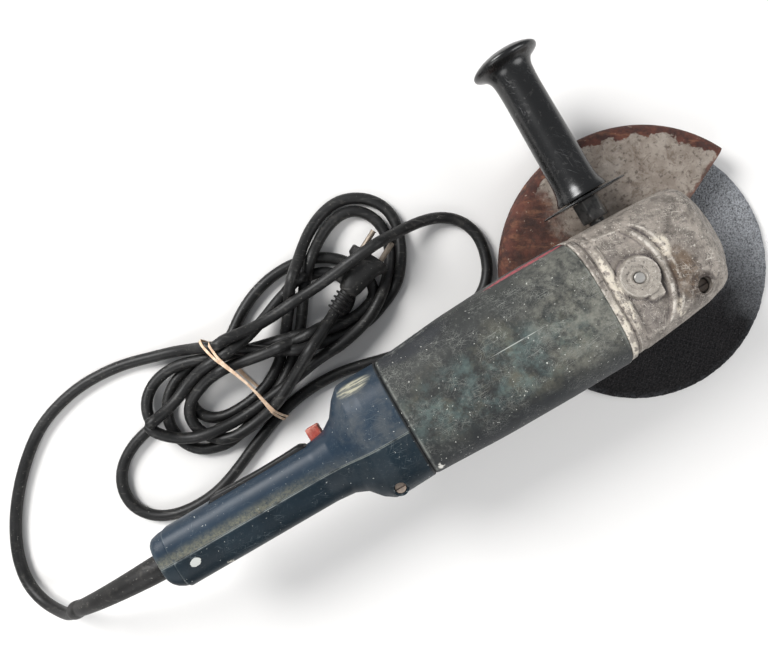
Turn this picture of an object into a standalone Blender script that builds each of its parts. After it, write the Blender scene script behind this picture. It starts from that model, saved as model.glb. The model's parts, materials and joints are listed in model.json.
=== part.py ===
"""Two-hand angle grinder with a 230 mm disc, its guard, side handle and bundled mains lead.

Lengths here are millimetres, and the helpers turn them into Blender's metres.
Everything but the lead is parented to an empty on the spindle's axis, at the level of
the table that the disc lies on: +X runs from the handle to the gear head, +Y towards
the side handle, +Z up.
"""
import math

import bmesh
import bpy
from mathutils import Matrix, Vector

MM = 0.001
GAP = 0.3

SPINDLE_AXIS = (170.5, -45.0)
MOTOR_HEIGHT = 81.0
DISC_RADIUS = 115.0
DISC_THICKNESS = 6.0
GUARD_RADIUS = 122.8
GUARD_SHEET = 2.0
GUARD_TURN = math.radians(26.6)
CLAMP_TURN = math.radians(-65)
NECK_RADIUS = 25.0
GEAR_CAVITY_RADIUS = 32.0
HEAD_REAR = -71.7
HOUSING_FRONT = -72.0
HOUSING_REAR = -239.0
HANDLE_FRONT = -239.3
HANDLE_REAR = -456.0
PARTING_PLANE = -8.0
WALL = 3.2

CROWN_TEETH = 36
PINION_TEETH = 10
CROWN_PITCH_RADIUS = 30.0
PINION_PITCH_RADIUS = CROWN_PITCH_RADIUS * PINION_TEETH / CROWN_TEETH
TOOTH_ADDENDUM = 1.3
TOOTH_DEDENDUM = 2.0
TOOTH_SHARE = 0.36
TOOTH_FACE_SCALE = 0.72

SIDE_HANDLE_X = -34.0
SIDE_HANDLE_HEIGHT = 80.0
LOCK_PIN_SPOT = (-44.5, 5.5)
BRUSH_X = -204.0
TRIGGER_PIVOT = (-396.0, 10.0)
LOCK_BUTTON_X = -306.0
CORD_RADIUS = 5.0
PLUG_SPOT = (-77.1, 54.3, 22.0)
PLUG_TURN = math.radians(27.2)

FLANGE_SCREW_SPOTS = [(25.1 * a, 25.1 * b) for a in (-1, 1) for b in (-1, 1)]
TOP_SCREW_SPOT = (-3.4, -23.7)
HANDLE_SCREW_SPOT = (-267.0, -42.0)

# x, lowest and highest y, lowest and highest z of the gear head
HEAD_SECTIONS = [
    (HEAD_REAR, -49.5, 54, 33.5, 128.5),
    (-46, -46.5, 53, 33.8, 128),
    (-43.5, -46, 53, 41.3, 128),
    (-20, -43.5, 52.5, 41.3, 126.5),
    (0, -40.5, 51.5, 41.3, 124.5),
    (14, -37, 50.5, 41.5, 121.5),
    (20, -35, 49, 41.6, 117),
    (25, -32.5, 47, 42.3, 108.5),
    (30, -30, 44, 43, 99),
    (38, -24.5, 35, 46, 85),
    (42.8, -17, 21, 54, 77),
]
HOUSING_SECTIONS = [
    (HOUSING_FRONT, -51, 54, 33, 129),
    (-120, -52, 54.5, 33.5, 128.5),
    (-180, -52, 51.5, 35, 127),
    (HOUSING_REAR, -50, 46, 37, 125),
]
HANDLE_SECTIONS = [
    (HANDLE_FRONT, -50, 46, 37, 125),
    (-262, -51, 46, 38, 124),
    (-274, -51, 45.5, 41, 121),
    (-282, -46, 38, 46, 116),
    (-290, -37, 27, 51.5, 110.5),
    (-300, -33, 20.5, 56.5, 105.5),
    (-315, -31.8, 17.6, 60, 102),
    (-446, -32, 17, 60.5, 101.5),
    (HANDLE_REAR, -30.5, 15.5, 62, 100),
]

# The lead, in the part's own frame: millimetres, from the strain relief to the bundle
TAIL_ROUTE = [
    (-377.5, -53, 52), (-395, -55, 38), (-411, -48, 24), (-425, -35, 12), (-432, -16, 6), (-429, 7, 5.3),
    (-418, 31, 5.3), (-404, 52, 5.3), (-384, 74, 5.3), (-358, 95, 5.3), (-331, 106, 5.3), (-302, 111, 5.3),
    (-267, 109, 6), (-234, 100, 8), (-217.2, 95, 9.6),
]
ARCH_ROUTE = [
    (18, 86, 15), (27, 85.5, 9.5), (44, 81, 5.6), (58, 70, 5.3), (65, 53, 5.3), (63, 34, 5.3),
    (55.5, 16, 5.3), (41, 2.5, 5.3), (13, -5, 5.3), (-14, -9, 5.3), (-43, -7, 5.3), (-69, -1, 5.3),
    (-92, 5, 5.3), (-110.9, 7.4, 5.3),
]
LOWER_LOOP_ROUTE = [
    (-186.4, -7, 5.3), (-202, -13, 5.3), (-224, -23, 5.3), (-249, -31, 5.3), (-277, -32, 5.3),
    (-302, -25, 5.3), (-318, -8, 5.3), (-320, 12, 5.3), (-311, 30, 5.3), (-293, 42, 5.3), (-274.6, 47, 5.3),
]
BUNDLE_OUTLINE = [
    (-273.5, 57), (-268, 76), (-256, 87), (-238, 91.5), (-218.5, 88.5), (-213.5, 102), (-190, 94),
    (-174, 92), (-160, 99), (-140, 112), (-112, 119), (-88, 120), (-70, 129), (-50, 142), (-28, 147),
    (-5, 140), (10, 124), (16, 102), (16, 76), (4, 60), (-16, 42), (-38, 27), (-70, 20), (-98, 19),
    (-112, 18), (-112, -1), (-140, -3), (-162, -6), (-183.5, -12.5), (-188, -1), (-207, -4), (-228, -4),
    (-250, 2), (-262, 16), (-272, 38),
]
BUNDLE_HEIGHT = 32.0
BAND_ENDS = ((-182, 94.5), (-158, -8))
BAND_WIDTH = 6.0


def clear_scene():
    for item in list(bpy.data.objects):
        bpy.data.objects.remove(item, do_unlink=True)


clear_scene()
parts = bpy.data.collections.new("angle_grinder")
cutters = bpy.data.collections.new("cutters")
for group in (parts, cutters):
    bpy.context.scene.collection.children.link(group)

base = bpy.data.objects.new("spindle_foot", None)
base.location = (SPINDLE_AXIS[0] * MM, SPINDLE_AXIS[1] * MM, 0)
parts.objects.link(base)


def paint(name, color, roughness, metallic=0.0):
    made = bpy.data.materials.get(name)
    if made:
        return made
    made = bpy.data.materials.new(name)
    made.use_nodes = True
    shader = made.node_tree.nodes["Principled BSDF"]
    shader.inputs["Base Color"].default_value = (*color, 1)
    shader.inputs["Roughness"].default_value = roughness
    shader.inputs["Metallic"].default_value = metallic
    return made


CAST = ("cast_aluminium", (0.36, 0.35, 0.33), 0.55, 0.7)
STEEL = ("bright_steel", (0.55, 0.54, 0.52), 0.3, 1.0)
DARK_STEEL = ("dark_steel", (0.18, 0.17, 0.17), 0.45, 0.9)
RUST = ("rusty_sheet", (0.23, 0.1, 0.06), 0.75, 0.3)
GRIT = ("abrasive", (0.07, 0.075, 0.08), 0.95)
TEAL = ("worn_housing", (0.06, 0.1, 0.1), 0.6)
NAVY = ("blue_plastic", (0.02, 0.05, 0.1), 0.45)
BLACK = ("black_plastic", (0.015, 0.015, 0.016), 0.35)
RUBBER = ("black_rubber", (0.02, 0.02, 0.02), 0.6)
RED = ("red_plastic", (0.45, 0.05, 0.03), 0.45)
COPPER = ("copper", (0.7, 0.3, 0.15), 0.35, 1.0)
CARBON = ("carbon", (0.05, 0.05, 0.055), 0.5)
TAN = ("tan_rubber", (0.62, 0.42, 0.26), 0.7)


def put(name, data, finish, spot=(0, 0, 0), turn=(0, 0, 0), parent=base, group=parts):
    item = bpy.data.objects.new(name, data)
    item.location = [v * MM for v in spot]
    item.rotation_euler = turn
    item.parent = parent
    if finish:
        data.materials.append(paint(*finish))
    if group is cutters:
        item.hide_render = True
        item.display_type = "WIRE"
    group.objects.link(item)
    return item


def mesh_of(name, shape, smooth=False):
    bmesh.ops.recalc_face_normals(shape, faces=shape.faces)
    mesh = bpy.data.meshes.new(name)
    shape.to_mesh(mesh)
    shape.free()
    if smooth:
        mesh.shade_smooth()
        mesh.set_sharp_from_angle(angle=math.radians(35))
    return mesh


def block(name, low, high, finish, **kind):
    shape = bmesh.new()
    bmesh.ops.create_cube(shape, size=1)
    size = [(b - a) * MM for a, b in zip(low, high)]
    bmesh.ops.scale(shape, vec=size, verts=shape.verts)
    middle = [(a + b) / 2 for a, b in zip(low, high)]
    return put(name, mesh_of(name, shape), finish, middle, **kind)


def rod(name, radius, start, end, finish, sides=20, **kind):
    """A cylinder from start to end."""
    way = Vector(end) - Vector(start)
    shape = bmesh.new()
    size = dict(radius1=radius * MM, radius2=radius * MM, depth=way.length * MM)
    bmesh.ops.create_cone(shape, cap_ends=True, segments=sides, **size)
    turn = way.to_track_quat("Z", "Y").to_euler()
    return put(name, mesh_of(name, shape, True), finish, (Vector(start) + Vector(end)) / 2, turn, **kind)


def pocket(name, low, high, **kind):
    """A block that only cuts."""
    return block(name, low, high, None, group=cutters, **kind)


def bore(name, radius, start, end, sides=16):
    """A cylinder that only cuts or joins."""
    return rod(name, radius, start, end, None, sides, group=cutters)


ALONG_Z = (0, 0, 0)
ALONG_X = (0, math.radians(90), 0)
ALONG_Y = (math.radians(-90), 0, 0)


CENTER = (0, 0, 0)
FULL_TURN = 2 * math.pi


def turned(name, profile, finish, steps=16, closed=True, spot=CENTER, turn=ALONG_Z, angle=FULL_TURN, **kind):
    """A profile of (radius, height) points, outer side first and downwards, turned about local Z."""
    mesh = bpy.data.meshes.new(name)
    edges = [(i, i + 1) for i in range(len(profile) - 1)]
    if closed:
        edges.append((len(profile) - 1, 0))
    mesh.from_pydata([(r * MM, 0, h * MM) for r, h in profile], edges, [])
    item = put(name, mesh, finish, spot, turn, **kind)
    screw = item.modifiers.new("turn", "SCREW")
    screw.angle = angle
    screw.steps = steps
    screw.render_steps = steps
    screw.use_merge_vertices = True
    screw.merge_threshold = 0.00001
    return item


def section(x, low_y, high_y, low_z, high_z, inset=0.0, points=24, power=3.0):
    """A rounded rectangle across X, as a ring of points."""
    ring = []
    for i in range(points):
        angle = 2 * math.pi * (i + 0.5) / points
        c, s = math.cos(angle), math.sin(angle)
        y = (low_y + high_y) / 2 + ((high_y - low_y) / 2 - inset) * math.copysign(abs(c) ** (2 / power), c)
        z = (low_z + high_z) / 2 + ((high_z - low_z) / 2 - inset) * math.copysign(abs(s) ** (2 / power), s)
        ring.append((x, y, z))
    return ring


def unit_ring(points=12):
    """The sine and cosine of angles spread evenly round a circle."""
    angles = [2 * math.pi * i / points for i in range(points)]
    return [(math.sin(angle), math.cos(angle)) for angle in angles]


def bridge(shape, first, second):
    count = len(first)
    for i in range(count):
        j = (i + 1) % count
        shape.faces.new((first[i], first[j], second[j], second[i]))


def loft(name, rings, finish, capped=True, **kind):
    """Rings of equal length joined in order; a loft that isn't capped joins its last ring to its first."""
    shape = bmesh.new()
    rows = [[shape.verts.new([v * MM for v in point]) for point in ring] for ring in rings]
    for first, second in zip(rows, rows[1:]):
        bridge(shape, first, second)
    if capped:
        shape.faces.new(rows[0])
        shape.faces.new(rows[-1])
    else:
        bridge(shape, rows[-1], rows[0])
    return put(name, mesh_of(name, shape, True), finish, **kind)


def flat_shape(name, loops, thickness, finish, spot=(0, 0, 0), turn=ALONG_Z, **kind):
    """A flat outline, the first of the loops, with the others as its holes, as thick as stated."""
    data = bpy.data.curves.new(name, "CURVE")
    data.dimensions = "2D"
    data.fill_mode = "BOTH"
    data.extrude = thickness / 2 * MM
    for loop in loops:
        line = data.splines.new("POLY")
        line.points.add(len(loop) - 1)
        for point, (x, y) in zip(line.points, loop):
            point.co = (x * MM, y * MM, 0, 1)
        line.use_cyclic_u = True
    return put(name, data, finish, spot, turn, **kind)


def smooth_route(points, spacing):
    """Points a set distance apart on the smooth curve through the route's own points."""
    route = [Vector(p) for p in points]
    ends = [2 * route[0] - route[1], *route, 2 * route[-1] - route[-2]]
    fine = []
    for a, b, c, d in zip(ends, ends[1:], ends[2:], ends[3:]):
        for k in range(12):
            t = k / 12
            bend, twist = 2 * a - 5 * b + 4 * c - d, 3 * b - a - 3 * c + d
            fine.append(0.5 * (2 * b + (c - a) * t + bend * t * t + twist * t ** 3))
    fine.append(route[-1])
    total = sum((b - a).length for a, b in zip(fine, fine[1:]))
    count = max(2, round(total / spacing))
    kept, walked, target = [fine[0]], 0.0, total / count
    for a, b in zip(fine, fine[1:]):
        step = (b - a).length
        while walked + step >= target * len(kept) and len(kept) < count:
            kept.append(a + (b - a) * ((target * len(kept) - walked) / step))
        walked += step
    return [*kept, fine[-1]]


def tube(name, points, radius, finish, resolution=2, cyclic=False, **kind):
    data = bpy.data.curves.new(name, "CURVE")
    data.dimensions = "3D"
    data.bevel_depth = radius * MM
    data.bevel_resolution = resolution
    data.use_fill_caps = not cyclic
    line = data.splines.new("POLY")
    line.points.add(len(points) - 1)
    for point, (x, y, z) in zip(line.points, points):
        point.co = (x * MM, y * MM, z * MM, 1)
    line.use_cyclic_u = cyclic
    return put(name, data, finish, **kind)


def as_mesh(item):
    """A curve object made a mesh with its caps welded, so that it can be cut or joined."""
    bpy.context.view_layer.update()
    graph = bpy.context.evaluated_depsgraph_get()
    mesh = bpy.data.meshes.new_from_object(item.evaluated_get(graph))
    shape = bmesh.new()
    shape.from_mesh(mesh)
    bmesh.ops.remove_doubles(shape, verts=shape.verts, dist=0.00001)
    bmesh.ops.recalc_face_normals(shape, faces=shape.faces)
    shape.to_mesh(mesh)
    shape.free()
    name, group, parent, place = item.name, item.users_collection[0], item.parent, item.matrix_basis.copy()
    bpy.data.objects.remove(item, do_unlink=True)
    made = bpy.data.objects.new(name, mesh)
    made.matrix_basis = place
    made.parent = parent
    if group is cutters:
        made.hide_render = True
        made.display_type = "WIRE"
    group.objects.link(made)
    return made


def combine(target, other, operation):
    step = target.modifiers.new(other.name, "BOOLEAN")
    step.object = other
    step.operation = operation
    step.solver = "EXACT"


def cut(target, *others):
    for other in others:
        combine(target, other, "DIFFERENCE")


def join(target, *others):
    for other in others:
        combine(target, other, "UNION")


def bevel_gear(name, teeth, mates, pitch_radius, first_tooth, hole, back_radius, back_height, spot, turn):
    """A straight bevel gear whose cone's tip is at the local origin, with the gear below it."""
    cone = math.atan2(teeth, mates)
    height = -pitch_radius / math.tan(cone)
    normal = (math.cos(cone), math.sin(cone))
    pitch_angle = 2 * math.pi / teeth
    root, tip = TOOTH_SHARE * 0.68 * pitch_angle, TOOTH_SHARE * 0.33 * pitch_angle
    flank = [(-root, -TOOTH_DEDENDUM), (-tip, TOOTH_ADDENDUM), (tip, TOOTH_ADDENDUM), (root, -TOOTH_DEDENDUM)]
    spots = []
    for i in range(teeth):
        middle = first_tooth + i * pitch_angle
        for shift, rise in flank:
            spots.append((middle + shift, pitch_radius + rise * normal[0], height + rise * normal[1]))
    inner_root = (height - TOOTH_DEDENDUM * normal[1]) * TOOTH_FACE_SCALE

    def ring(radius_height):
        return [(r * math.cos(a), r * math.sin(a), h) for a, r, h in (radius_height(*s) for s in spots)]

    rings = [
        ring(lambda a, r, h: (a, r, h)),
        ring(lambda a, r, h: (a, r * TOOTH_FACE_SCALE, h * TOOTH_FACE_SCALE)),
        ring(lambda a, r, h: (a, hole, inner_root)),
        ring(lambda a, r, h: (a, hole, back_height)),
        ring(lambda a, r, h: (a, back_radius, back_height)),
    ]
    return loft(name, rings, STEEL, capped=False, spot=spot, turn=turn)


def star(count, inner, outer, share):
    """An outline with square teeth, as wide at the tip as the share of a pitch."""
    loop = []
    for i in range(count):
        middle = 2 * math.pi * i / count
        half = math.pi * share / count
        low, high = middle - half, middle + half
        for angle, radius in ((low, inner), (low, outer), (high, outer), (high, inner)):
            loop.append((radius * math.cos(angle), radius * math.sin(angle)))
    return loop


def circle(radius, points=20):
    return [(radius * c, radius * s) for s, c in unit_ring(points)]


def bolt(name, head_radius, head_height, shank_radius, shank, spot, turn=ALONG_Z, finish=DARK_STEEL):
    """A screw whose head's underside is at spot, with its shank going down local Z."""
    profile = [
        (0, head_height), (head_radius, head_height), (head_radius, 0),
        (shank_radius, 0), (shank_radius, -shank), (0, -shank),
    ]
    item = turned(name, profile, finish, 10, False, spot, turn)
    slot_sides = ((-head_radius, -0.6, head_height - 1), (head_radius, 0.6, head_height + 1))
    slot = pocket(name + "_slot", *slot_sides)
    slot.matrix_basis = item.matrix_basis @ slot.matrix_basis
    cut(item, slot)
    return item


def make_gear_case():
    rings = [section(x, *sides, points=28) for x, *sides in HEAD_SECTIONS]
    case = loft("gear_case", rings, CAST)
    pin_x, pin_y = LOCK_PIN_SPOT
    join(case, bore("lock_boss", 17, (pin_x, pin_y, 110), (pin_x, pin_y, 129.2), 28))
    side = (SIDE_HANDLE_X, SIDE_HANDLE_HEIGHT)
    cut(
        case,
        bore("gear_cavity", GEAR_CAVITY_RADIUS, (0, 0, 30), (0, 0, 82), 28),
        bore("upper_cavity", 21.7, (0, 0, 80), (0, 0, 100), 24),
        bore("top_bearing_pocket", 9.8, (0, 0, 95), (0, 0, 118.6), 20),
        bore("pinion_passage", 13, (-80, 0, MOTOR_HEIGHT), (-20, 0, MOTOR_HEIGHT), 20),
        bore("front_bearing_seat", 15.3, (-80, 0, MOTOR_HEIGHT), (-53.7, 0, MOTOR_HEIGHT), 24),
        bore("rear_recess", 40, (-80, 0, MOTOR_HEIGHT), (-64.5, 0, MOTOR_HEIGHT), 24),
        bore("lock_pin_bore", 4.4, (pin_x, pin_y, 85), (pin_x, pin_y, 140), 16),
        bore("lock_spring_pocket", 6.8, (pin_x, pin_y, 108), (pin_x, pin_y, 124), 16),
        bore("side_handle_thread", 6.3, (side[0], 37, side[1]), (side[0], 70, side[1]), 16),
        bore("far_handle_thread", 6.3, (side[0], -70, side[1]), (side[0], -35, side[1]), 16),
        bore("top_screw_recess", 5.6, (*TOP_SCREW_SPOT, 112), (*TOP_SCREW_SPOT, 140), 16),
        bore("top_screw_hole", 2.3, (*TOP_SCREW_SPOT, 102), (*TOP_SCREW_SPOT, 115), 10),
    )
    for i, (x, y) in enumerate(FLANGE_SCREW_SPOTS):
        cut(case, bore(f"case_screw_hole_{i}", 2.3, (x, y, 30), (x, y, 60), 10))
    bolt("top_screw", 4.8, 4, 2, 9, (*TOP_SCREW_SPOT, 112.3))


def make_bearing_flange():
    profile = [
        (40, 41), (40, 36), (NECK_RADIUS, 36), (NECK_RADIUS, 25.3),
        (12, 25.3), (12, 27), (20.3, 27), (20.3, 41),
    ]
    flange = turned("bearing_flange", profile, CAST, 28)
    for i, (x, y) in enumerate(FLANGE_SCREW_SPOTS):
        cut(
            flange,
            bore(f"flange_hole_{i}", 2.3, (x, y, 30), (x, y, 50), 10),
            bore(f"flange_recess_{i}", 4.3, (x, y, 30), (x, y, 38.8), 12),
        )
        bolt(f"flange_screw_{i + 1}", 4, 2.4, 2, 18, (x, y, 38.5), (math.radians(180), 0, 0))


def make_spindle_group():
    turned("spindle", [
        (0, 118), (6, 118), (6, 76.5), (8.5, 76.5), (8.5, 25.6),
        (10, 25.6), (10, 20), (7, 20), (7, 1.2), (0, 1.2),
    ], STEEL, 16, False)
    bevel_gear(
        "crown_gear", CROWN_TEETH, PINION_TEETH, CROWN_PITCH_RADIUS, math.pi / CROWN_TEETH, 8.8, 29.2, -17,
        (0, 0, MOTOR_HEIGHT), ALONG_Z,
    )
    flange = [(21, 16), (21, 11), (7.3, 11), (7.3, 19.7), (12, 19.7), (13, 16)]
    turned("inner_flange", flange, DARK_STEEL, 20)
    turned("grinding_disc", [
        (DISC_RADIUS, DISC_THICKNESS), (DISC_RADIUS, 0), (36, 0), (28, 4.7),
        (11.1, 4.7), (11.1, 10.7), (26, 10.7), (34, DISC_THICKNESS),
    ], GRIT, 56)
    nut_profile = [(10.8, 9), (10.8, 4.4), (20, 4.4), (20, 0.9), (7.3, 0.9), (7.3, 9)]
    nut = turned("locking_nut", nut_profile, DARK_STEEL, 20)
    for side in (-1, 1):
        cut(nut, bore(f"nut_hole_{side + 1}", 2.2, (15 * side, 0, -1), (15 * side, 0, 3), 10))


def make_spindle_bearings():
    turned("spindle_bearing", [(20, 39.3), (20, 27.3), (8.8, 27.3), (8.8, 39.3)], STEEL, 20)
    turned("needle_bearing", [(9.5, 117), (9.5, 106), (6.3, 106), (6.3, 117)], STEEL, 16)


def make_guard():
    profile = [
        (27, 30), (110, 30), (116, 28.8), (120, 26), (122, 21.5), (GUARD_RADIUS, 16), (GUARD_RADIUS, 10),
    ]
    guard = turned("guard", profile, RUST, 24, False, turn=(0, 0, GUARD_TURN), angle=math.pi)
    sheet = guard.modifiers.new("sheet", "SOLIDIFY")
    sheet.thickness = GUARD_SHEET * MM
    sheet.offset = -1
    inside = NECK_RADIUS + 0.4
    collar_profile = [(28.5, 35.4), (28.5, 24.5), (inside, 24.5), (inside, 35.4)]
    collar = turned("guard_collar", collar_profile, None, 28, group=cutters)
    lug = pocket("guard_lug", (27, -3, 27), (38, 12, 35.2))
    lug.matrix_basis = Matrix.Rotation(CLAMP_TURN, 4, "Z") @ lug.matrix_basis
    join(guard, collar, lug)
    split = pocket("clamp_split", (20, 4, 20), (45, 5.6, 40))
    hole = bore("clamp_hole", 2.3, (34, -10, 31.2), (34, 9.5, 31.2), 10)
    for tool in (split, hole):
        tool.matrix_basis = Matrix.Rotation(CLAMP_TURN, 4, "Z") @ tool.matrix_basis
    cut(guard, split, hole)
    screw = bolt("guard_clamp_screw", 3.6, 3, 2, 12, (0, 0, 0))
    place = Matrix.Rotation(CLAMP_TURN, 4, "Z") @ Matrix.Translation(Vector((34, -3.4, 31.2)) * MM)
    screw.matrix_basis = place @ Matrix.Rotation(math.radians(90), 4, "X")
    bpy.data.objects["guard_clamp_screw_slot"].matrix_basis = (
        screw.matrix_basis @ bpy.data.objects["guard_clamp_screw_slot"].matrix_basis
    )


def make_side_handle():
    spot = (SIDE_HANDLE_X, 0, SIDE_HANDLE_HEIGHT)
    stud_profile = [(0, 118), (6, 118), (6, 38), (0, 38)]
    stud = turned("side_handle_stud", stud_profile, STEEL, 14, False, spot, ALONG_Y)
    nut_middle = (SIDE_HANDLE_X, 64.6, SIDE_HANDLE_HEIGHT)
    nut = flat_shape("stud_nut", [circle(11, 6)], 17.6, None, nut_middle, ALONG_Y, group=cutters)
    join(stud, as_mesh(nut))
    shield = [(14, 73.8), (6.4, 73.8), (6.4, 76.8), (14, 76.8), (35, 75.4), (35, 74)]
    turned("hand_shield", shield, BLACK, 24, True, spot, ALONG_Y)
    grip = [
        (0, 205), (14, 204.2), (22, 201.6), (26.2, 199), (27, 197), (26, 195.2), (20.5, 192.6), (17.8, 189),
        (16.6, 184), (16, 170), (16.4, 130), (16.9, 96), (17.6, 86), (20, 80), (20.5, 77.2), (6.4, 77.2),
        (6.4, 119), (0, 119),
    ]
    turned("side_handle_grip", grip, BLACK, 20, False, spot, ALONG_Y)


def make_motor_housing():
    outer = [section(x, *sides, points=28) for x, *sides in HOUSING_SECTIONS]
    inner = [section(x, *sides, inset=WALL, points=28) for x, *sides in HOUSING_SECTIONS]
    loft("motor_housing", outer + inner[::-1], TEAL, capped=False)


def make_field():
    """Stator core with two pole shoes, and a saddle coil round each."""
    front, rear, reach = -115, -185, math.radians(60)
    pole = []
    for i in range(11):
        angle = math.radians(90) - reach + 2 * reach * i / 10
        pole.append((28.6 * math.cos(angle), 28.6 * math.sin(angle)))
    window = []
    for i in range(5):
        angle = math.radians(90) + reach + (math.pi - 2 * reach) * i / 4
        window.append((36 * math.cos(angle), 36 * math.sin(angle)))
    half = pole + window
    inside = half + [(-x, -y) for x, y in half]
    spot = ((front + rear) / 2, 0, MOTOR_HEIGHT)
    upright = (math.radians(90), 0, math.radians(90))
    flat_shape("stator_core", [circle(42, 28), inside], front - rear, DARK_STEEL, spot, upright)
    start = math.radians(14)
    for name, sign in (("field_coil_upper", 1), ("field_coil_lower", -1)):
        loop = []
        for x, way in ((front + 5, 1), (rear - 5, -1)):
            for i in range(9):
                angle = start + (math.pi - 2 * start) * (i if way > 0 else 8 - i) / 8
                loop.append((x, 32.2 * math.cos(angle), MOTOR_HEIGHT + sign * 32.2 * math.sin(angle)))
        tube(name, loop, 3.1, COPPER, 1, True)


def on_motor_axis(name, profile, finish, steps=16, closed=True, **kind):
    return turned(name, profile, finish, steps, closed, (0, 0, MOTOR_HEIGHT), ALONG_X, **kind)


def make_armature():
    on_motor_axis("armature_shaft", [
        (0, -20.5), (3, -20.5), (3, -36.3), (5, -36.3), (5, -63.2),
        (6, -63.2), (6, -222.7), (4, -222.7), (4, -233), (0, -233),
    ], STEEL, closed=False)
    bevel_gear(
        "pinion", PINION_TEETH, CROWN_TEETH, PINION_PITCH_RADIUS, 0.0, 3.3, 6.2, -36,
        (0, 0, MOTOR_HEIGHT), ALONG_X,
    )
    on_motor_axis("lock_collar", [(12, -41), (12, -50), (5.3, -50), (5.3, -41)], STEEL, 20)
    core = [star(12, 25.5, 27.7, 0.7), circle(10.3, 16)]
    flat_shape("rotor_core", core, 70, DARK_STEEL, (-150, 0, MOTOR_HEIGHT), ALONG_X)
    on_motor_axis("rotor_winding", [
        (19, -109), (23.5, -110.5), (23.5, -113.5), (21, -114.7), (9.9, -114.7), (9.9, -185.3),
        (21, -185.3), (23.5, -186.5), (23.5, -189.5), (19, -191), (6.3, -191), (6.3, -109),
    ], COPPER)
    on_motor_axis("commutator", [(15, -193), (15, -215), (6.3, -215), (6.3, -193)], COPPER)
    blades = [star(9, 12, 37, 0.16), circle(6.3, 16)]
    fan = as_mesh(flat_shape("cooling_fan", blades, 9, BLACK, (-94.5, 0, MOTOR_HEIGHT), ALONG_X))
    plate = [(38, -88), (38, -91), (6.3, -91), (6.3, -88)]
    join(fan, on_motor_axis("fan_plate", plate, None, 24, group=cutters))


def make_motor_bearings():
    on_motor_axis("front_bearing", [(15, -54), (15, -63), (5.3, -63), (5.3, -54)], STEEL)
    on_motor_axis("rear_bearing", [(11, -223.5), (11, -231.5), (4.3, -231.5), (4.3, -223.5)], STEEL)
    on_motor_axis("bearing_bush", [(14, -223), (14, -232), (11.3, -232), (11.3, -223)], RUBBER)
    on_motor_axis("air_baffle", [(42, -101.6), (42, -103.2), (26, -103.2), (26, -101.6)], BLACK, 20)
    low, high = (-234, -42, MOTOR_HEIGHT - 18), (-222, 39, MOTOR_HEIGHT + 18)
    bar = block("bearing_bridge", low, high, BLACK)
    cut(bar, bore("bush_seat", 14.3, (-240, 0, MOTOR_HEIGHT), (-210, 0, MOTOR_HEIGHT)))


def make_brushes():
    for name, sign in (("near", 1), ("far", -1)):
        y = sorted((17.5 * sign, 39 * sign))
        holder = block(f"brush_holder_{name}", (BRUSH_X - 7, y[0], 72), (BRUSH_X + 7, y[1], 90), BLACK)
        way = pocket(f"brush_way_{name}", (BRUSH_X - 4.3, y[0] - 9, 74.2), (BRUSH_X + 4.3, y[1] + 9, 87.8))
        cut(holder, way)
        y = sorted((15.5 * sign, 29 * sign))
        block(f"carbon_brush_{name}", (BRUSH_X - 4, y[0], 74.5), (BRUSH_X + 4, y[1], 87.5), CARBON)


def make_handle():
    outer = [section(x, *sides) for x, *sides in HANDLE_SECTIONS]
    inner = [section(x, *sides, inset=WALL) for x, *sides in HANDLE_SECTIONS[:-1]]
    inner.insert(0, section(HANDLE_FRONT + 5, *HANDLE_SECTIONS[0][1:], inset=WALL))
    inner[-1] = section(-449.7, *HANDLE_SECTIONS[-2][1:], inset=WALL)
    hollow = loft("handle_hollow", inner, None, group=cutters)
    hole_ends = [(x, PARTING_PLANE, MOTOR_HEIGHT) for x in (-470, -440)]
    boot_hole = bore("boot_hole", 9.4, *hole_ends, 20)
    x, y = HANDLE_SCREW_SPOT
    back = loft("handle_shell_back", outer, NAVY)
    post = bore("screw_post", 6.5, (x, y, 52), (x, y, 110), 16)
    cut(back, hollow)
    join(back, post)
    cut(back, pocket("back_half", (-500, PARTING_PLANE - 0.15, 0), (-200, 90, 160)), boot_hole)
    for name, sign in (("upper", 1), ("lower", -1)):
        seat = MOTOR_HEIGHT + 27 * sign
        cut(
            back,
            bore(f"screw_recess_{name}", 4.8, (x, y, seat), (x, y, seat + 40 * sign), 14),
            bore(f"screw_pilot_{name}", 2.2, (x, y, seat - 16 * sign), (x, y, seat + 2 * sign), 10),
        )
        turn = ALONG_Z if sign > 0 else (math.radians(180), 0, 0)
        bolt(f"handle_screw_{name}", 4.3, 3.2, 1.9, 14, (x, y, seat + 0.3 * sign), turn)
    front = loft("handle_shell_trigger", outer, NAVY)
    cut(
        front,
        hollow,
        pocket("trigger_half", (-500, -90, 0), (-200, PARTING_PLANE + 0.15, 160)),
        boot_hole,
        pocket("trigger_slot", (-402.6, 4, 71), (-315.5, 40, 91)),
        pocket("lock_button_hole", (LOCK_BUTTON_X - 5.9, 0, 75.1), (LOCK_BUTTON_X + 5.8, 40, 86.9)),
    )


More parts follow.
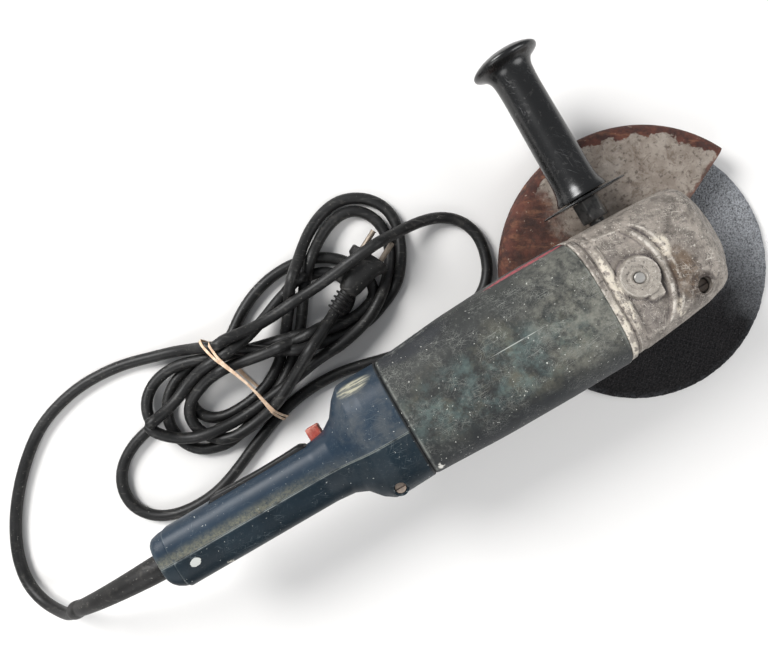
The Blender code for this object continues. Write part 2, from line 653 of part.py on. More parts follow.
def make_switch():
    x, y = TRIGGER_PIVOT
    outline = [(-401, 8), (-401, 18), (-398, 20.5), (-322, 20.5), (-317, 18), (-317, 10), (-330, 8)]
    local = [(a - x, b - y) for a, b in outline]
    trigger = as_mesh(flat_shape("trigger", [local], 18, BLACK, (x, y, MOTOR_HEIGHT)))
    cut(trigger, bore("trigger_bore", 2.2, (x, y, 60), (x, y, 100), 12))
    rod("trigger_pin", 1.9, (x, y, MOTOR_HEIGHT - 10.4), (x, y, MOTOR_HEIGHT + 10.4), STEEL, 12)
    switch = block("switch_block", (-372, -24, 71), (-330, -3, 91), BLACK)
    cut(switch, pocket("plunger_way", (-349, -13.5, 77.4), (-341, 0, 84.6)))
    block("switch_plunger", (-348.6, -7.5, 77.8), (-341.4, 7.2, 84.2), RED)
    button = block("lock_on_button", (LOCK_BUTTON_X - 5.5, 5, 75.5), (LOCK_BUTTON_X + 5.5, 28.5, 86.5), RED)
    soft = button.modifiers.new("soft", "BEVEL")
    soft.width = 1.6 * MM
    soft.segments = 2
    rod("capacitor", 8, (-428, PARTING_PLANE, MOTOR_HEIGHT), (-409, PARTING_PLANE, MOTOR_HEIGHT), BLACK, 16)


def make_lock_pin():
    x, y = LOCK_PIN_SPOT
    turned("lock_pin", [
        (0, 131.5), (3.4, 131.5), (4, 130.9), (4, 122.5), (6.3, 122.5),
        (6.3, 120.5), (4, 120.5), (4, 98), (0, 98),
    ], STEEL, 16, False, (x, y, 0))
    coil = []
    turns, points = 3, 8
    for i in range(turns * points + 1):
        angle = 2 * math.pi * i / points
        rise = 10.6 * i / (turns * points)
        coil.append((x + 5.4 * math.cos(angle), y + 5.4 * math.sin(angle), 109 + rise))
    tube("lock_spring", coil, 0.6, STEEL, 1)


def make_strain_relief():
    """The boot's neck is held inside the handle, and its cone bends down towards the table."""
    y = PARTING_PLANE
    route = [
        (-446, y, 81), (HANDLE_REAR - 0.4, y, 81), (-459.5, y, 81), (-470, y, 80.6), (-486, y, 78.8),
        (-503, y, 75), (-520, y, 69), (-536, y, 60.5), (-547.4, y, 52.4),
    ]
    radii = (8.6, 9, 10.6, 10.4, 9.6, 8.8, 8, 7.4, 6.8)
    rings = []
    for i, (spot, radius) in enumerate(zip(route, radii)):
        way = Vector(route[min(i + 1, len(route) - 1)]) - Vector(route[max(i - 1, 0)])
        way.normalize()
        side = Vector((0, 1, 0))
        up = side.cross(way).normalized() * -1
        rings.append([tuple(Vector(spot) + radius * (c * side + s * up)) for s, c in unit_ring()])
    loft("strain_relief", rings[::-1], RUBBER)


def make_cord():
    lead = dict(radius=CORD_RADIUS, finish=RUBBER, parent=None)
    tube("cord_tail", smooth_route(TAIL_ROUTE, 24), **lead)
    tube("cord_arch", smooth_route(ARCH_ROUTE, 20), **lead)
    tube("cord_lower_loop", smooth_route(LOWER_LOOP_ROUTE, 22), **lead)
    middle = (0, 0, BUNDLE_HEIGHT / 2)
    bundle = as_mesh(flat_shape("cord_bundle", [BUNDLE_OUTLINE], BUNDLE_HEIGHT, RUBBER, middle, parent=None))
    room = pocket("plug_pocket", (-0.3, -19.3, 7), (77, 19.3, 60), parent=None)
    place = Matrix.Translation(Vector((*PLUG_SPOT[:2], 0)) * MM) @ Matrix.Rotation(PLUG_TURN, 4, "Z")
    room.matrix_basis = place @ room.matrix_basis
    cut(bundle, room)


def make_rubber_band():
    """A band stretched over the bundle and down its two sides."""
    start, end = (Vector(spot) for spot in BAND_ENDS)
    span, low, top, sheet = (end - start).length, 1.0, BUNDLE_HEIGHT + 0.4, 1.2
    outline = [
        (-sheet, low), (-sheet, top + sheet), (span + sheet, top + sheet), (span + sheet, low),
        (span, low), (span, top), (0, top), (0, low),
    ]
    turn = (math.radians(90), 0, math.atan2(end.y - start.y, end.x - start.x))
    flat_shape("rubber_band", [outline], BAND_WIDTH, TAN, (*start, 0), turn, parent=None)


def make_plug():
    """Moulded mains plug lying flat, with its ribbed neck at PLUG_SPOT and its pins ahead of it."""
    spot = dict(spot=PLUG_SPOT, turn=(0, 0, PLUG_TURN), parent=None)
    stations = [
        (0, 6.6, 6.6), (2.4, 7.3, 7.3), (3.2, 6, 6), (5.6, 6, 6), (6.4, 7.6, 7.6), (8.8, 7.6, 7.6),
        (9.6, 6.2, 6.2), (12, 6.2, 6.2), (12.8, 7.9, 7.9), (15.2, 7.9, 7.9), (16, 6.6, 6.6), (18.4, 6.6, 6.6),
        (20, 8.4, 8.4), (30, 11, 10), (42, 13, 11.5), (48.5, 17, 13), (50, 17.8, 13.4), (56, 17.8, 13.4),
        (56.6, 16.8, 12.6),
    ]
    rings = [[(x, half_y * c, half_z * s) for s, c in unit_ring(14)] for x, half_y, half_z in stations]
    loft("plug_body", rings, RUBBER, **spot)
    turn = Matrix.Rotation(PLUG_TURN, 4, "Z")
    for name, side in (("plug_pin_left", 9.5), ("plug_pin_right", -9.5)):
        start, end = (Vector(PLUG_SPOT) + turn @ Vector((x, side, 0)) for x in (56.9, 75.6))
        rod(name, 2.4, start, end, STEEL, 12, parent=None)


make_gear_case()
make_bearing_flange()
make_spindle_group()
make_spindle_bearings()
make_guard()
make_side_handle()
make_motor_housing()
make_field()
make_armature()
make_motor_bearings()
make_brushes()
make_handle()
make_switch()
make_lock_pin()
make_strain_relief()
make_cord()
make_rubber_band()
make_plug()
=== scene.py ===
import json
import math

import bmesh
import bpy
import numpy as np
from mathutils import Matrix, Vector


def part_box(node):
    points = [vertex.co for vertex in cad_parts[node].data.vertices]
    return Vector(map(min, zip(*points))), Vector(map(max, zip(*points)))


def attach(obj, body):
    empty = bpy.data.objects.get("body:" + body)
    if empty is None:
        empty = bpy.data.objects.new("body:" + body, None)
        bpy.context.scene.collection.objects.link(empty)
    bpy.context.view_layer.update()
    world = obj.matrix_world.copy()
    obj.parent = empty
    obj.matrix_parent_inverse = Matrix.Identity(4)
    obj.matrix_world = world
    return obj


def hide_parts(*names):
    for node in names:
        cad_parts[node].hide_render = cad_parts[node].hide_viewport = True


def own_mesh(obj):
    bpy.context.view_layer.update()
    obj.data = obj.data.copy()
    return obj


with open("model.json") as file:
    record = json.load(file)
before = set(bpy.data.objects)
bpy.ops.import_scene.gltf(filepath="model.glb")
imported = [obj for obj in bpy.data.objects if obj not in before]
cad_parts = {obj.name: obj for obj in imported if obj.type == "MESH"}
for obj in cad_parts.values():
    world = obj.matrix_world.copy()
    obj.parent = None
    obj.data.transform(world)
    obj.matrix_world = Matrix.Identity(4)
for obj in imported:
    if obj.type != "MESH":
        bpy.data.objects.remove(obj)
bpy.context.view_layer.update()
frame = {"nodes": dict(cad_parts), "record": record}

mm = 0.001
discLow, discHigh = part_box("grinding_disc")
spindleX = (discLow[0] + discHigh[0]) / 2
spindleY = (discLow[1] + discHigh[1]) / 2
motorZ = 81.0  # height of the motor's axis above the table
seamY = -8.0  # the upright plane where the handle's two shells meet


# Tool lengths are millimetres from the spindle's axis and the table
def toFrame(points):
    return np.asarray(points, float) * mm + np.array([spindleX, spindleY, 0.0])


def toTool(points):
    return np.asarray(points, float) - np.array([spindleX, spindleY, 0.0]) / mm


def placed(name, data):
    piece = bpy.data.objects.new(name, data)
    bpy.context.scene.collection.objects.link(piece)
    return piece


view = {"x": -0.0495, "y": 0.0185, "height": 0.64, "lens": 33.75, "turn": -30.1}


def makeCamera():
    data = bpy.data.cameras.new("topCamera")
    data.lens = view["lens"]
    data.sensor_width = 36
    data.clip_start = 0.01
    camera = placed("topCamera", data)
    camera.location = (view["x"], view["y"], view["height"])
    camera.rotation_euler = (0, 0, math.radians(view["turn"]))
    bpy.context.scene.camera = camera


makeCamera()
print("camera placed")


# a material's value or colour, so that masks can be written as plain sums
class Sock:
    def __init__(self, graph, socket):
        self.graph = graph
        self.socket = socket

    def __add__(self, other):
        return self.graph.math("ADD", self, other)

    def __sub__(self, other):
        return self.graph.math("SUBTRACT", self, other)

    def __rsub__(self, other):
        return self.graph.math("SUBTRACT", other, self)

    def __mul__(self, other):
        return self.graph.math("MULTIPLY", self, other)

    def __pow__(self, other):
        return self.graph.math("POWER", self, other)

    def __rpow__(self, other):
        return self.graph.math("POWER", other, self)

    __radd__ = __add__
    __rmul__ = __mul__


class Graph:
    def __init__(self, name):
        self.material = bpy.data.materials.new(name)
        self.material.use_nodes = True
        self.tree = self.material.node_tree
        self.shader = self.tree.nodes["Principled BSDF"]
        self.coords = self.add("ShaderNodeTexCoord")["Object"]

    # settings go first, then the values or links of the sockets, by name or as s and a number
    def add(self, kind, settings=None, **sockets):
        node = self.tree.nodes.new(kind)
        for key, value in (settings or {}).items():
            setattr(node, key, value)
        for key, value in sockets.items():
            self.feed(node.inputs[int(key[1:]) if key[1:].isdigit() else key], value)
        return {out.name: Sock(self, out) for out in node.outputs if out.enabled}

    def feed(self, socket, value):
        if isinstance(value, Sock):
            self.tree.links.new(value.socket, socket)
        else:
            socket.default_value = (*value, 1) if socket.type == "RGBA" else value

    def math(self, operation, a, b=0.0, clamp=False):
        return self.add("ShaderNodeMath", {"operation": operation, "use_clamp": clamp}, s0=a, s1=b)["Value"]

    def clamp(self, value):
        return self.math("ADD", value, clamp=True)

    # 0 below low, 1 above high, eased between them
    def step(self, value, low, high):
        settings = {"interpolation_type": "SMOOTHSTEP"}
        return self.add("ShaderNodeMapRange", settings, s0=value, s1=low, s2=high, s3=0.0, s4=1.0)["Result"]

    def mix(self, mask, a, b):
        return self.add("ShaderNodeMix", {"data_type": "RGBA"}, s0=mask, s6=a, s7=b)["Result"]

    # the material's colour starts as a ground and is built up in coats
    def ground(self, mask, a, b):
        self.color = self.mix(mask, a, b)

    def coat(self, mask, tone):
        self.color = self.mix(mask, self.color, tone)

    # coordinates turned about Z and shifted, then stretched
    def stretched(self, scale, turn=0.0, shift=(0, 0, 0), vector=None):
        turned = self.add("ShaderNodeMapping", None, Vector=vector or self.coords,
                          Rotation=(0, 0, math.radians(turn)), Location=shift)["Vector"]
        return self.add("ShaderNodeMapping", None, Vector=turned, Scale=scale)["Vector"]

    def noise(self, scale, detail=3, rough=0.55, shift=0, bend=0, vector=None):
        vector = vector or self.coords
        if shift:
            moved = self.add("ShaderNodeMapping", None, Vector=vector, Location=(shift, shift, shift))
            vector = moved["Vector"]
        return self.add("ShaderNodeTexNoise", None, Vector=vector, Scale=scale, Detail=detail,
                        Roughness=rough, Distortion=bend)["Fac"]

    # a mask of soft-edged blotches where the noise is over low
    def patches(self, low, high, *size, **shape):
        return self.step(self.noise(*size, **shape), low, high)

    # fine marks that run one way, a little bent, and only in patches
    def scratches(self, turn, share=0.05, fine=2600, long=110, shift=0):
        bend = self.add("ShaderNodeTexNoise", None, Vector=self.coords, Scale=70, Detail=1)["Color"]
        bent = self.add("ShaderNodeVectorMath", {"operation": "MULTIPLY_ADD"}, s0=bend,
                        s1=(0.004, 0.004, 0.004), s2=self.coords)["Vector"]
        edge = 0.7 - share
        return self.patches(edge, edge + 0.06, 1, 1, 0.5,
                            vector=self.stretched((long, fine, 400), turn, (shift, shift, 0), bent))

    # scratches in several directions
    def marks(self, *ways):
        return self.clamp(sum(self.scratches(*way) for way in ways))

    # a value stored on the mesh's own points
    def stored(self, name):
        return self.add("ShaderNodeAttribute", {"attribute_name": name})["Fac"]

    def axes(self):
        parts = self.add("ShaderNodeSeparateXYZ", None, Vector=self.coords)
        return parts["X"], parts["Y"], parts["Z"]

    # distance from the spindle's axis in millimetres
    def fromSpindle(self):
        x, y, _ = self.axes()
        return ((x - spindleX) ** 2 + (y - spindleY) ** 2) ** 0.5 * (1 / mm)

    # 1 inside a soft-edged ellipsoid, in tool millimetres
    def spot(self, center, radii, soft=0.35):
        a, b, c = [((value - float(middle)) * (1 / (radius * mm))) ** 2
                   for value, middle, radius in zip(self.axes(), toFrame([center])[0], radii)]
        return 1 - self.step(a + b + c, 1 - soft, 1 + soft)

    # 0 to 1 along one axis between two places, in tool millimetres
    def along(self, axis, low, high):
        shift = (spindleX, spindleY, 0.0)[axis]
        return self.step(self.axes()[axis], low * mm + shift, high * mm + shift)

    # creases are under a half, edges that stand out are over it
    def edges(self, low, high):
        return self.step(self.add("ShaderNodeNewGeometry")["Pointiness"], low, high)

    def finish(self, roughness, metallic=0.0, height=None, relief=0.0004, strength=0.5, **fixed):
        if height is not None:
            fixed["Normal"] = self.add("ShaderNodeBump", None, Height=height, Distance=relief,
                                       Strength=strength)["Normal"]
        fixed.update({"Base_Color": self.color, "Roughness": roughness, "Metallic": metallic})
        for name, value in fixed.items():
            self.feed(self.shader.inputs[name.replace("_", " ")], value)
        return self.material


def meshOf(shape, name):
    mesh = bpy.data.meshes.new(name)
    shape.to_mesh(mesh)
    shape.free()
    return mesh


def sharpen(piece, angle=35):
    piece.data.shade_smooth()
    piece.data.set_sharp_from_angle(angle=math.radians(angle))
    return piece


# edges over the smooth angle stay sharp
def makeMesh(name, points, faces, material, smooth, stored=None):
    mesh = bpy.data.meshes.new(name)
    mesh.from_pydata([tuple(p) for p in toFrame(points)], [], [tuple(int(i) for i in f) for f in faces])
    for key, values in (stored or {}).items():
        layer = mesh.attributes.new(key, "FLOAT", "POINT")
        layer.data.foreach_set("value", np.asarray(values, np.float32).ravel())
    shape = bmesh.new()
    shape.from_mesh(mesh)
    bmesh.ops.remove_doubles(shape, verts=shape.verts, dist=0.002 * mm)
    bmesh.ops.recalc_face_normals(shape, faces=shape.faces)
    shape.to_mesh(mesh)
    shape.free()
    mesh.materials.append(material)
    mesh.shade_smooth()
    piece = placed(name, mesh)
    return sharpen(piece, smooth) if smooth else piece


# quads between rows of points, with flat ends unless the rows form a loop
def loftFaces(rows, count, closedRound=True, loop=False):
    faces = []
    for k in range(rows if loop else rows - 1):
        for i in range(count if closedRound else count - 1):
            j, n = (i + 1) % count, (k + 1) % rows
            faces.append((k * count + i, k * count + j, n * count + j, n * count + i))
    if not loop:
        faces.append(tuple(range(count)))
        faces.append(tuple(range((rows - 1) * count, rows * count)))
    return faces


# a closed skin over rings of points, with flat ends
def lofted(name, rings, material, smooth, stored=None):
    rings = np.asarray(rings)
    return makeMesh(name, rings.reshape(-1, 3), loftFaces(*rings.shape[:2]), material, smooth, stored)


# profile rows of (radius, height) turned round an axis through spot
def turnedPoints(profile, spot, axis, sides, start=0.0, sweep=360.0):
    angles = np.radians(start + np.linspace(0, sweep, sides, endpoint=sweep < 360))
    rows = []
    for radius, height in profile:
        c, s, h = radius * np.cos(angles), radius * np.sin(angles), np.full(len(angles), height)
        rows.append(np.stack({"Z": (c, s, h), "Y": (c, h, s)}[axis], 1) + np.array(spot, float))
    return np.concatenate(rows)


# closed=True joins the last row to the first
def turned(name, profile, material, sides, spot=(0, 0, 0), axis="Z", closed=False, smooth=35):
    points = turnedPoints(profile, spot, axis, sides)
    return makeMesh(name, points, loftFaces(len(profile), sides, loop=closed), material, smooth)


def apply(piece):
    graph = bpy.context.evaluated_depsgraph_get()
    mesh = bpy.data.meshes.new_from_object(piece.evaluated_get(graph))
    piece.modifiers.clear()
    piece.data = mesh
    return piece


def bevel(piece, width):
    step = piece.modifiers.new("bevel", "BEVEL")
    step.width = width * mm
    step.segments = 3
    step.limit_method = "ANGLE"
    step.angle_limit = math.radians(25)
    return apply(piece)


# cuts the cutters out of the piece, or joins them to it with "UNION"
def carve(piece, cutters, operation="DIFFERENCE"):
    for cutter in cutters:
        step = piece.modifiers.new("cut", "BOOLEAN")
        step.object = cutter
        step.operation = operation
        step.solver = "EXACT"
    apply(piece)
    for cutter in cutters:
        bpy.data.objects.remove(cutter, do_unlink=True)
    return piece


def copyOf(piece, name):
    twin = placed(name, piece.data.copy())
    twin.matrix_world = piece.matrix_world
    return twin


def rod(radius, low, high, sides=32):
    low, high = Vector(low), Vector(high)
    shape = bmesh.new()
    bmesh.ops.create_cone(shape, cap_ends=True, segments=sides, radius1=radius * mm, radius2=radius * mm,
                          depth=(high - low).length * mm)
    piece = placed("cutter", meshOf(shape, "cutter"))
    turn = (high - low).to_track_quat("Z", "Y").to_matrix().to_4x4()
    piece.matrix_world = Matrix.Translation(Vector(toFrame([(low + high) / 2])[0])) @ turn
    return piece


def block(low, high, rounding=0.0):
    low, high = np.array(low, float), np.array(high, float)
    shape = bmesh.new()
    bmesh.ops.create_cube(shape, size=1)
    bmesh.ops.scale(shape, vec=(high - low) * mm, verts=shape.verts)
    if rounding:
        bmesh.ops.bevel(shape, geom=shape.edges[:], offset=rounding * mm, segments=3, affect="EDGES",
                        profile=0.5)
    bmesh.ops.translate(shape, vec=Vector(toFrame([(low + high) / 2])[0]), verts=shape.verts)
    return placed("cutter", meshOf(shape, "cutter"))


def fit(piece, body, slotName, *nodes):
    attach(piece, body)
    if nodes:
        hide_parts(*nodes)
    return piece


def walkedAlong(points):
    return np.concatenate([[0], np.cumsum(np.linalg.norm(np.diff(points, axis=0), axis=1))])


# places at even distances along a line of points
def evenly(points, count, endpoint=True):
    walked = walkedAlong(points)
    spots = np.linspace(0, walked[-1], count, endpoint=endpoint)
    return np.stack([np.interp(spots, walked, side) for side in points.T], 1)


# a rounded rectangle across X, its points evenly spaced along its outline
def outline(lowY, highY, lowZ, highZ, power, count):
    angle = np.linspace(0, 2 * np.pi, 1441)[:-1] + np.pi / 4
    c, s = np.cos(angle), np.sin(angle)
    y = (lowY + highY) / 2 + (highY - lowY) / 2 * np.sign(c) * np.abs(c) ** (2 / power)
    z = (lowZ + highZ) / 2 + (highZ - lowZ) / 2 * np.sign(s) * np.abs(s) ** (2 / power)
    closed = np.stack([np.append(y, y[0]), np.append(z, z[0])], 1)
    return evenly(closed, count, endpoint=False)


# rings through sections of (x, lowY, highY, lowZ, highZ), blurred along X over a length
def hullRings(sections, stations, count, power=3.0, blur=0.0):
    table = np.array(sorted(sections), float)
    rings = []
    for x in stations:
        spots = np.linspace(x - blur, x + blur, 7) if blur else [x]
        sides = [np.mean(np.interp(spots, table[:, 0], table[:, k])) for k in range(1, 5)]
        rings.append(np.column_stack([np.full(count, x), outline(*sides, power, count)]))
    return np.array(rings)


# moves the rings' points inwards by sink, towards a line along X
def pressIn(rings, sink, middleY, middleZ):
    y, z = rings[..., 1], rings[..., 2]
    reach = np.hypot(y - middleY, z - middleZ)
    stepY, stepZ = sink * (y - middleY) / reach, sink * (z - middleZ) / reach
    y -= stepY
    z -= stepZ


def ease(value, low, high):
    t = np.clip((value - low) / (high - low), 0, 1)
    return t * t * (3 - 2 * t)


# 0 up to a, 1 from b to c, and 0 again from d on
def within(value, a, b, c, d):
    return ease(value, a, b) * (1 - ease(value, c, d))


def hump(value, middle, half):
    return np.clip(1 - np.abs((value - middle) / half), 0, 1) ** 0.8


# slow waves that keep a casting or a pressing from looking ruled
def waves(points, size, seed):
    rng = np.random.default_rng(seed)
    total = np.zeros(len(points))
    for _ in range(7):
        way = rng.normal(size=3)
        way /= np.linalg.norm(way) * size
        total += np.sin(points @ way * 2 * np.pi + rng.uniform(0, 6.3))
    return total / 7


# rings of a round thing that follows a way
def tubeRings(way, radii, sides):
    way = np.asarray(way, float)
    rings = []
    for k, radius in enumerate(radii):
        ahead = way[min(k + 1, len(way) - 1)] - way[max(k - 1, 0)]
        ahead /= np.linalg.norm(ahead)
        side = np.cross((0, 0, 1.0), ahead)
        side /= np.linalg.norm(side)
        up = np.cross(ahead, side)
        angle = np.linspace(0, 2 * np.pi, sides, endpoint=False)
        rings.append(way[k] + radius * (np.cos(angle)[:, None] * side + np.sin(angle)[:, None] * up))
    return np.array(rings)


room = {
    "floor": (0.78, 0.765, 0.745), "floorHalf": 3.0, "sky": (0.9, 0.94, 1, 1), "skyStrength": 0.38,
    "lamps": {
        "key": {"spot": (-0.75, 1.15, 1.25), "size": 0.9, "power": 40},
        "fill": {"spot": (1.3, -1.0, 1.2), "size": 1.3, "power": 20},
        "side": {"spot": (-1.3, -0.9, 1.3), "size": 1.2, "power": 14},
    },
}


def makeStage():
    shape = bmesh.new()
    bmesh.ops.create_grid(shape, x_segments=4, y_segments=4, size=room["floorHalf"])
    floor = placed("floor", meshOf(shape, "floor"))
    floor.location = (0, 0, -0.2 * mm)
    paint = Graph("paleTable")
    paint.color = room["floor"]
    floor.data.materials.append(paint.finish(0.85))
    for name, lamp in room["lamps"].items():
        data = bpy.data.lights.new(name, "AREA")
        data.shape = "DISK"
        data.size = lamp["size"]
        data.energy = lamp["power"]
        light = placed(name, data)
        light.location = lamp["spot"]
        light.rotation_euler = (-light.location).to_track_quat("-Z", "Y").to_euler()
    world = bpy.data.worlds.new("softRoom")
    world.use_nodes = True
    sky = world.node_tree.nodes["Background"].inputs
    sky["Color"].default_value = room["sky"]
    sky["Strength"].default_value = room["skyStrength"]
    bpy.context.scene.world = world
    bpy.context.scene.view_settings.view_transform = "Standard"


makeStage()
print("stage and lamps placed")


lead = {
    "thick": 10.0, "step": 4.5,  # the rubber's thickness, and how far apart the curve's points are
    "rounds": 400, "weight": 0.25, "hold": 0.03,  # how long it settles, sinks and keeps to its plan
    "gap": 10.2, "floor": 5.1,  # spacing of the strands, and lowest height of their middles
    "held": 150.0,  # length that the boot keeps from falling
}

# The lead's way in millimetres of the frame: out of the boot, down to the table, then through the winding
tailWay = [
    (-377.5, -53, 52), (-395, -55, 38), (-411, -48, 24), (-425, -35, 12), (-432, -16, 6), (-429, 7, 5.3),
    (-418, 31, 5.3), (-404, 52, 5.3), (-384, 74, 5.3), (-358, 95, 5.3), (-331, 106, 5.3), (-302, 111, 5.3),
    (-267, 109, 6), (-234, 100, 8), (-217.2, 95, 9.6),
]
firstTurns = [
    (-205, 90, 14), (-183, 80, 20), (-165, 67, 19), (-145, 54, 16), (-121, 44, 18), (-97, 36, 16),
    (-73, 34, 14), (-48, 38, 12), (-25, 48, 10), (-7, 64, 8), (4, 82, 7), (9, 102, 6), (4, 119, 5),
    (-9, 132, 5), (-27, 139, 5), (-45, 136, 6), (-63, 127, 8), (-79, 112, 16), (-95, 96, 18),
    (-111, 79, 14), (-125, 61, 10), (-138, 45, 12), (-154, 32, 20), (-174, 25, 14), (-193, 23, 9),
    (-211, 23, 7), (-225, 31, 6), (-231, 44, 5), (-227, 57, 5), (-215, 66, 6), (-200, 70, 9), (-183, 74, 9),
    (-168, 82, 8), (-153, 94, 7), (-134, 104, 6), (-111, 110, 6), (-87, 110, 6), (-64, 103, 6),
    (-47, 89, 6), (-38, 72, 6), (-37, 53, 6), (-49, 40, 8), (-68, 38, 8), (-90, 42, 9), (-113, 50, 10),
    (-136, 57, 12), (-160, 64, 13), (-182, 70, 14), (-203, 78, 13), (-225, 84, 10), (-245, 82, 8),
    (-260, 73, 7), (-267, 58, 8), (-265, 42, 10), (-253, 29, 13), (-237, 20, 16), (-217, 16, 18),
    (-197, 15, 20), (-176, 16, 23), (-155, 19, 22), (-135, 22, 20), (-113, 26, 20), (-90, 28, 22),
    (-65, 31, 24), (-42, 40, 20), (-23, 53, 17), (-11, 71, 15), (-4, 93, 14), (-7, 112, 14), (-19, 126, 14),
    (-36, 127, 14), (-53, 120, 14), (-70, 108, 9), (-86, 92, 8), (-100, 73, 9), (-113, 56, 6),
    (-128, 41, 6), (-144, 28, 8), (-164, 17, 8), (-185, 9, 6), (-207, 3, 5), (-226, 3, 5), (-243, 8, 5),
    (-253, 22, 5), (-256, 39, 5), (-251, 55, 5), (-240, 68, 6), (-225, 76, 7), (-209, 78, 6), (-194, 77, 6),
]
overPlug = [
    (-169, 76, 28), (-145, 76, 31), (-121, 77, 30), (-98, 79, 30), (-74, 80, 38), (-50, 82, 45),
    (-27, 84, 42), (-2, 86, 28),
]
archWay = [
    (18, 86, 15), (27, 85.5, 9.5), (44, 81, 5.6), (58, 70, 5.3), (65, 53, 5.3), (63, 34, 5.3),
    (55.5, 16, 5.3), (41, 2.5, 5.3), (13, -5, 5.3), (-14, -9, 5.3), (-43, -7, 5.3), (-69, -1, 5.3),
    (-92, 5, 5.3), (-110.9, 7.4, 5.3),
]
lowerLoop = [
    (-136, 7, 9), (-158, 3, 11), (-180, -4, 7), (-186.4, -7, 5.3), (-202, -13, 5.3), (-224, -23, 5.3),
    (-249, -31, 5.3), (-277, -32, 5.3), (-302, -25, 5.3), (-318, -8, 5.3), (-320, 12, 5.3), (-311, 30, 5.3),
    (-293, 42, 5.3), (-274.6, 47, 5.3), (-252, 51, 14), (-234, 56, 14), (-218, 64, 15), (-201, 69, 17),
    (-184, 70, 20), (-157, 72, 22),
]
lastTurn = [
    (-134, 80, 24), (-111, 90, 14), (-87, 95, 8), (-67, 91, 6), (-55, 76, 6), (-56, 61, 6), (-69, 50, 7),
    (-92, 48, 8), (-118, 49, 16), (-143, 52, 20), (-170, 57, 22), (-193, 61, 20), (-212, 56, 18),
    (-229, 49, 14), (-236, 33, 12), (-231, 17, 10), (-216, 4, 9), (-193, 4, 12), (-169, 9, 26),
    (-148, 17, 28), (-126, 28, 28), (-105, 39, 27), (-90, 47.2, 24), (-77.1, 54.3, 22),
]
plug = {
    "neck": (-77.1, 54.3, 22.0), "turn": 27.2,
    # distance from the neck and radius along the ribbed part, then distance, half width and half height
    "ribs": [(0, 6.4), (0.4, 7.4), (1.0, 7.9), (1.9, 7.9), (2.4, 7.2), (2.7, 5.6), (4.7, 5.6), (5.0, 7.4),
             (5.5, 8.2), (6.5, 8.2), (7.0, 7.5), (7.3, 5.7), (9.3, 5.7), (9.6, 7.5), (10.1, 8.4),
             (11.1, 8.4), (11.6, 7.7), (11.9, 5.9), (13.9, 5.9), (14.2, 7.7), (14.7, 8.6), (15.7, 8.6),
             (16.2, 7.9), (16.5, 6.1), (18.4, 6.2), (19.0, 7.4), (20, 8.3)],
    "body": [(24, 9.6, 9.1), (30, 11, 10), (36, 12, 10.8), (42, 13, 11.5), (46, 14.6, 12.1),
             (48.4, 16.6, 12.9), (49.2, 17.5, 13.2), (50, 17.8, 13.4), (55.4, 17.8, 13.4),
             (56.2, 17.5, 13.2), (56.6, 16.8, 12.6)],
    # a simpler outline that the lead keeps clear of
    "room": [(0, 7, 7), (16, 7.5, 7.5), (20, 8.4, 8.4), (30, 11, 10), (42, 13, 11.5), (50, 17.8, 13.4),
             (57, 17.8, 13.4)],
}
plugNeck = np.array(plug["neck"])
plugAhead = np.array([math.cos(math.radians(plug["turn"])), math.sin(math.radians(plug["turn"])), 0])
plugSide = np.array([-plugAhead[1], plugAhead[0], 0])


# an even walk along a smooth curve through the points
def smoothWay(points, step):
    p = np.array(points, float)
    p = np.concatenate([[2 * p[0] - p[1]], p, [2 * p[-1] - p[-2]]])
    t = np.linspace(0, 1, 12, endpoint=False)[:, None]
    parts = []
    for a, b, c, d in zip(p[:-3], p[1:-2], p[2:-1], p[3:]):
        bend, twist = 2 * a - 5 * b + 4 * c - d, 3 * b - a - 3 * c + d
        parts.append(0.5 * (2 * b + (c - a) * t + bend * t ** 2 + twist * t ** 3))
    fine = np.concatenate(parts + [p[-2:-1]])
    return evenly(fine, int(round(walkedAlong(fine)[-1] / step)) + 1)


# pulls each point towards the middle of its two neighbours at a distance
def relax(p, axes, reach, share):
    middle = (p[:-2 * reach, axes] + p[2 * reach:, axes]) / 2
    p[reach:-reach, axes] += share * (middle - p[reach:-reach, axes])


# moves strands apart: up and down where they cross, sideways where they lie along each other
def pushApart(p, first, second, above):
    along = np.gradient(p, axis=0)
    along /= np.linalg.norm(along, axis=1)[:, None]
    between = p[first] - p[second]
    flat = np.hypot(between[:, 0], between[:, 1])
    distance = np.maximum(np.linalg.norm(between, axis=1), 0.01)
    crossing = 1 - np.clip((np.abs((along[first] * along[second]).sum(1)) - 0.8) / 0.15, 0, 1)
    height = np.sqrt(np.maximum(lead["gap"] ** 2 - flat ** 2, 0))
    climb = np.maximum(height - above * between[:, 2], 0) * (height > 0)
    slide = np.maximum(lead["gap"] - distance, 0)
    push = ((1 - crossing) * slide / distance)[:, None] * between
    push[:, 2] += crossing * climb * above
    touching = (np.abs(push).sum(1) > 0.001).astype(float)
    count = np.bincount(first, touching, len(p)) + np.bincount(second, touching, len(p))
    for k in range(3):
        moved = np.bincount(first, push[:, k], len(p)) - np.bincount(second, push[:, k], len(p))
        p[:, k] += 0.55 * moved / np.maximum(count, 1)
    p[:, 2] = np.maximum(p[:, 2], lead["floor"])


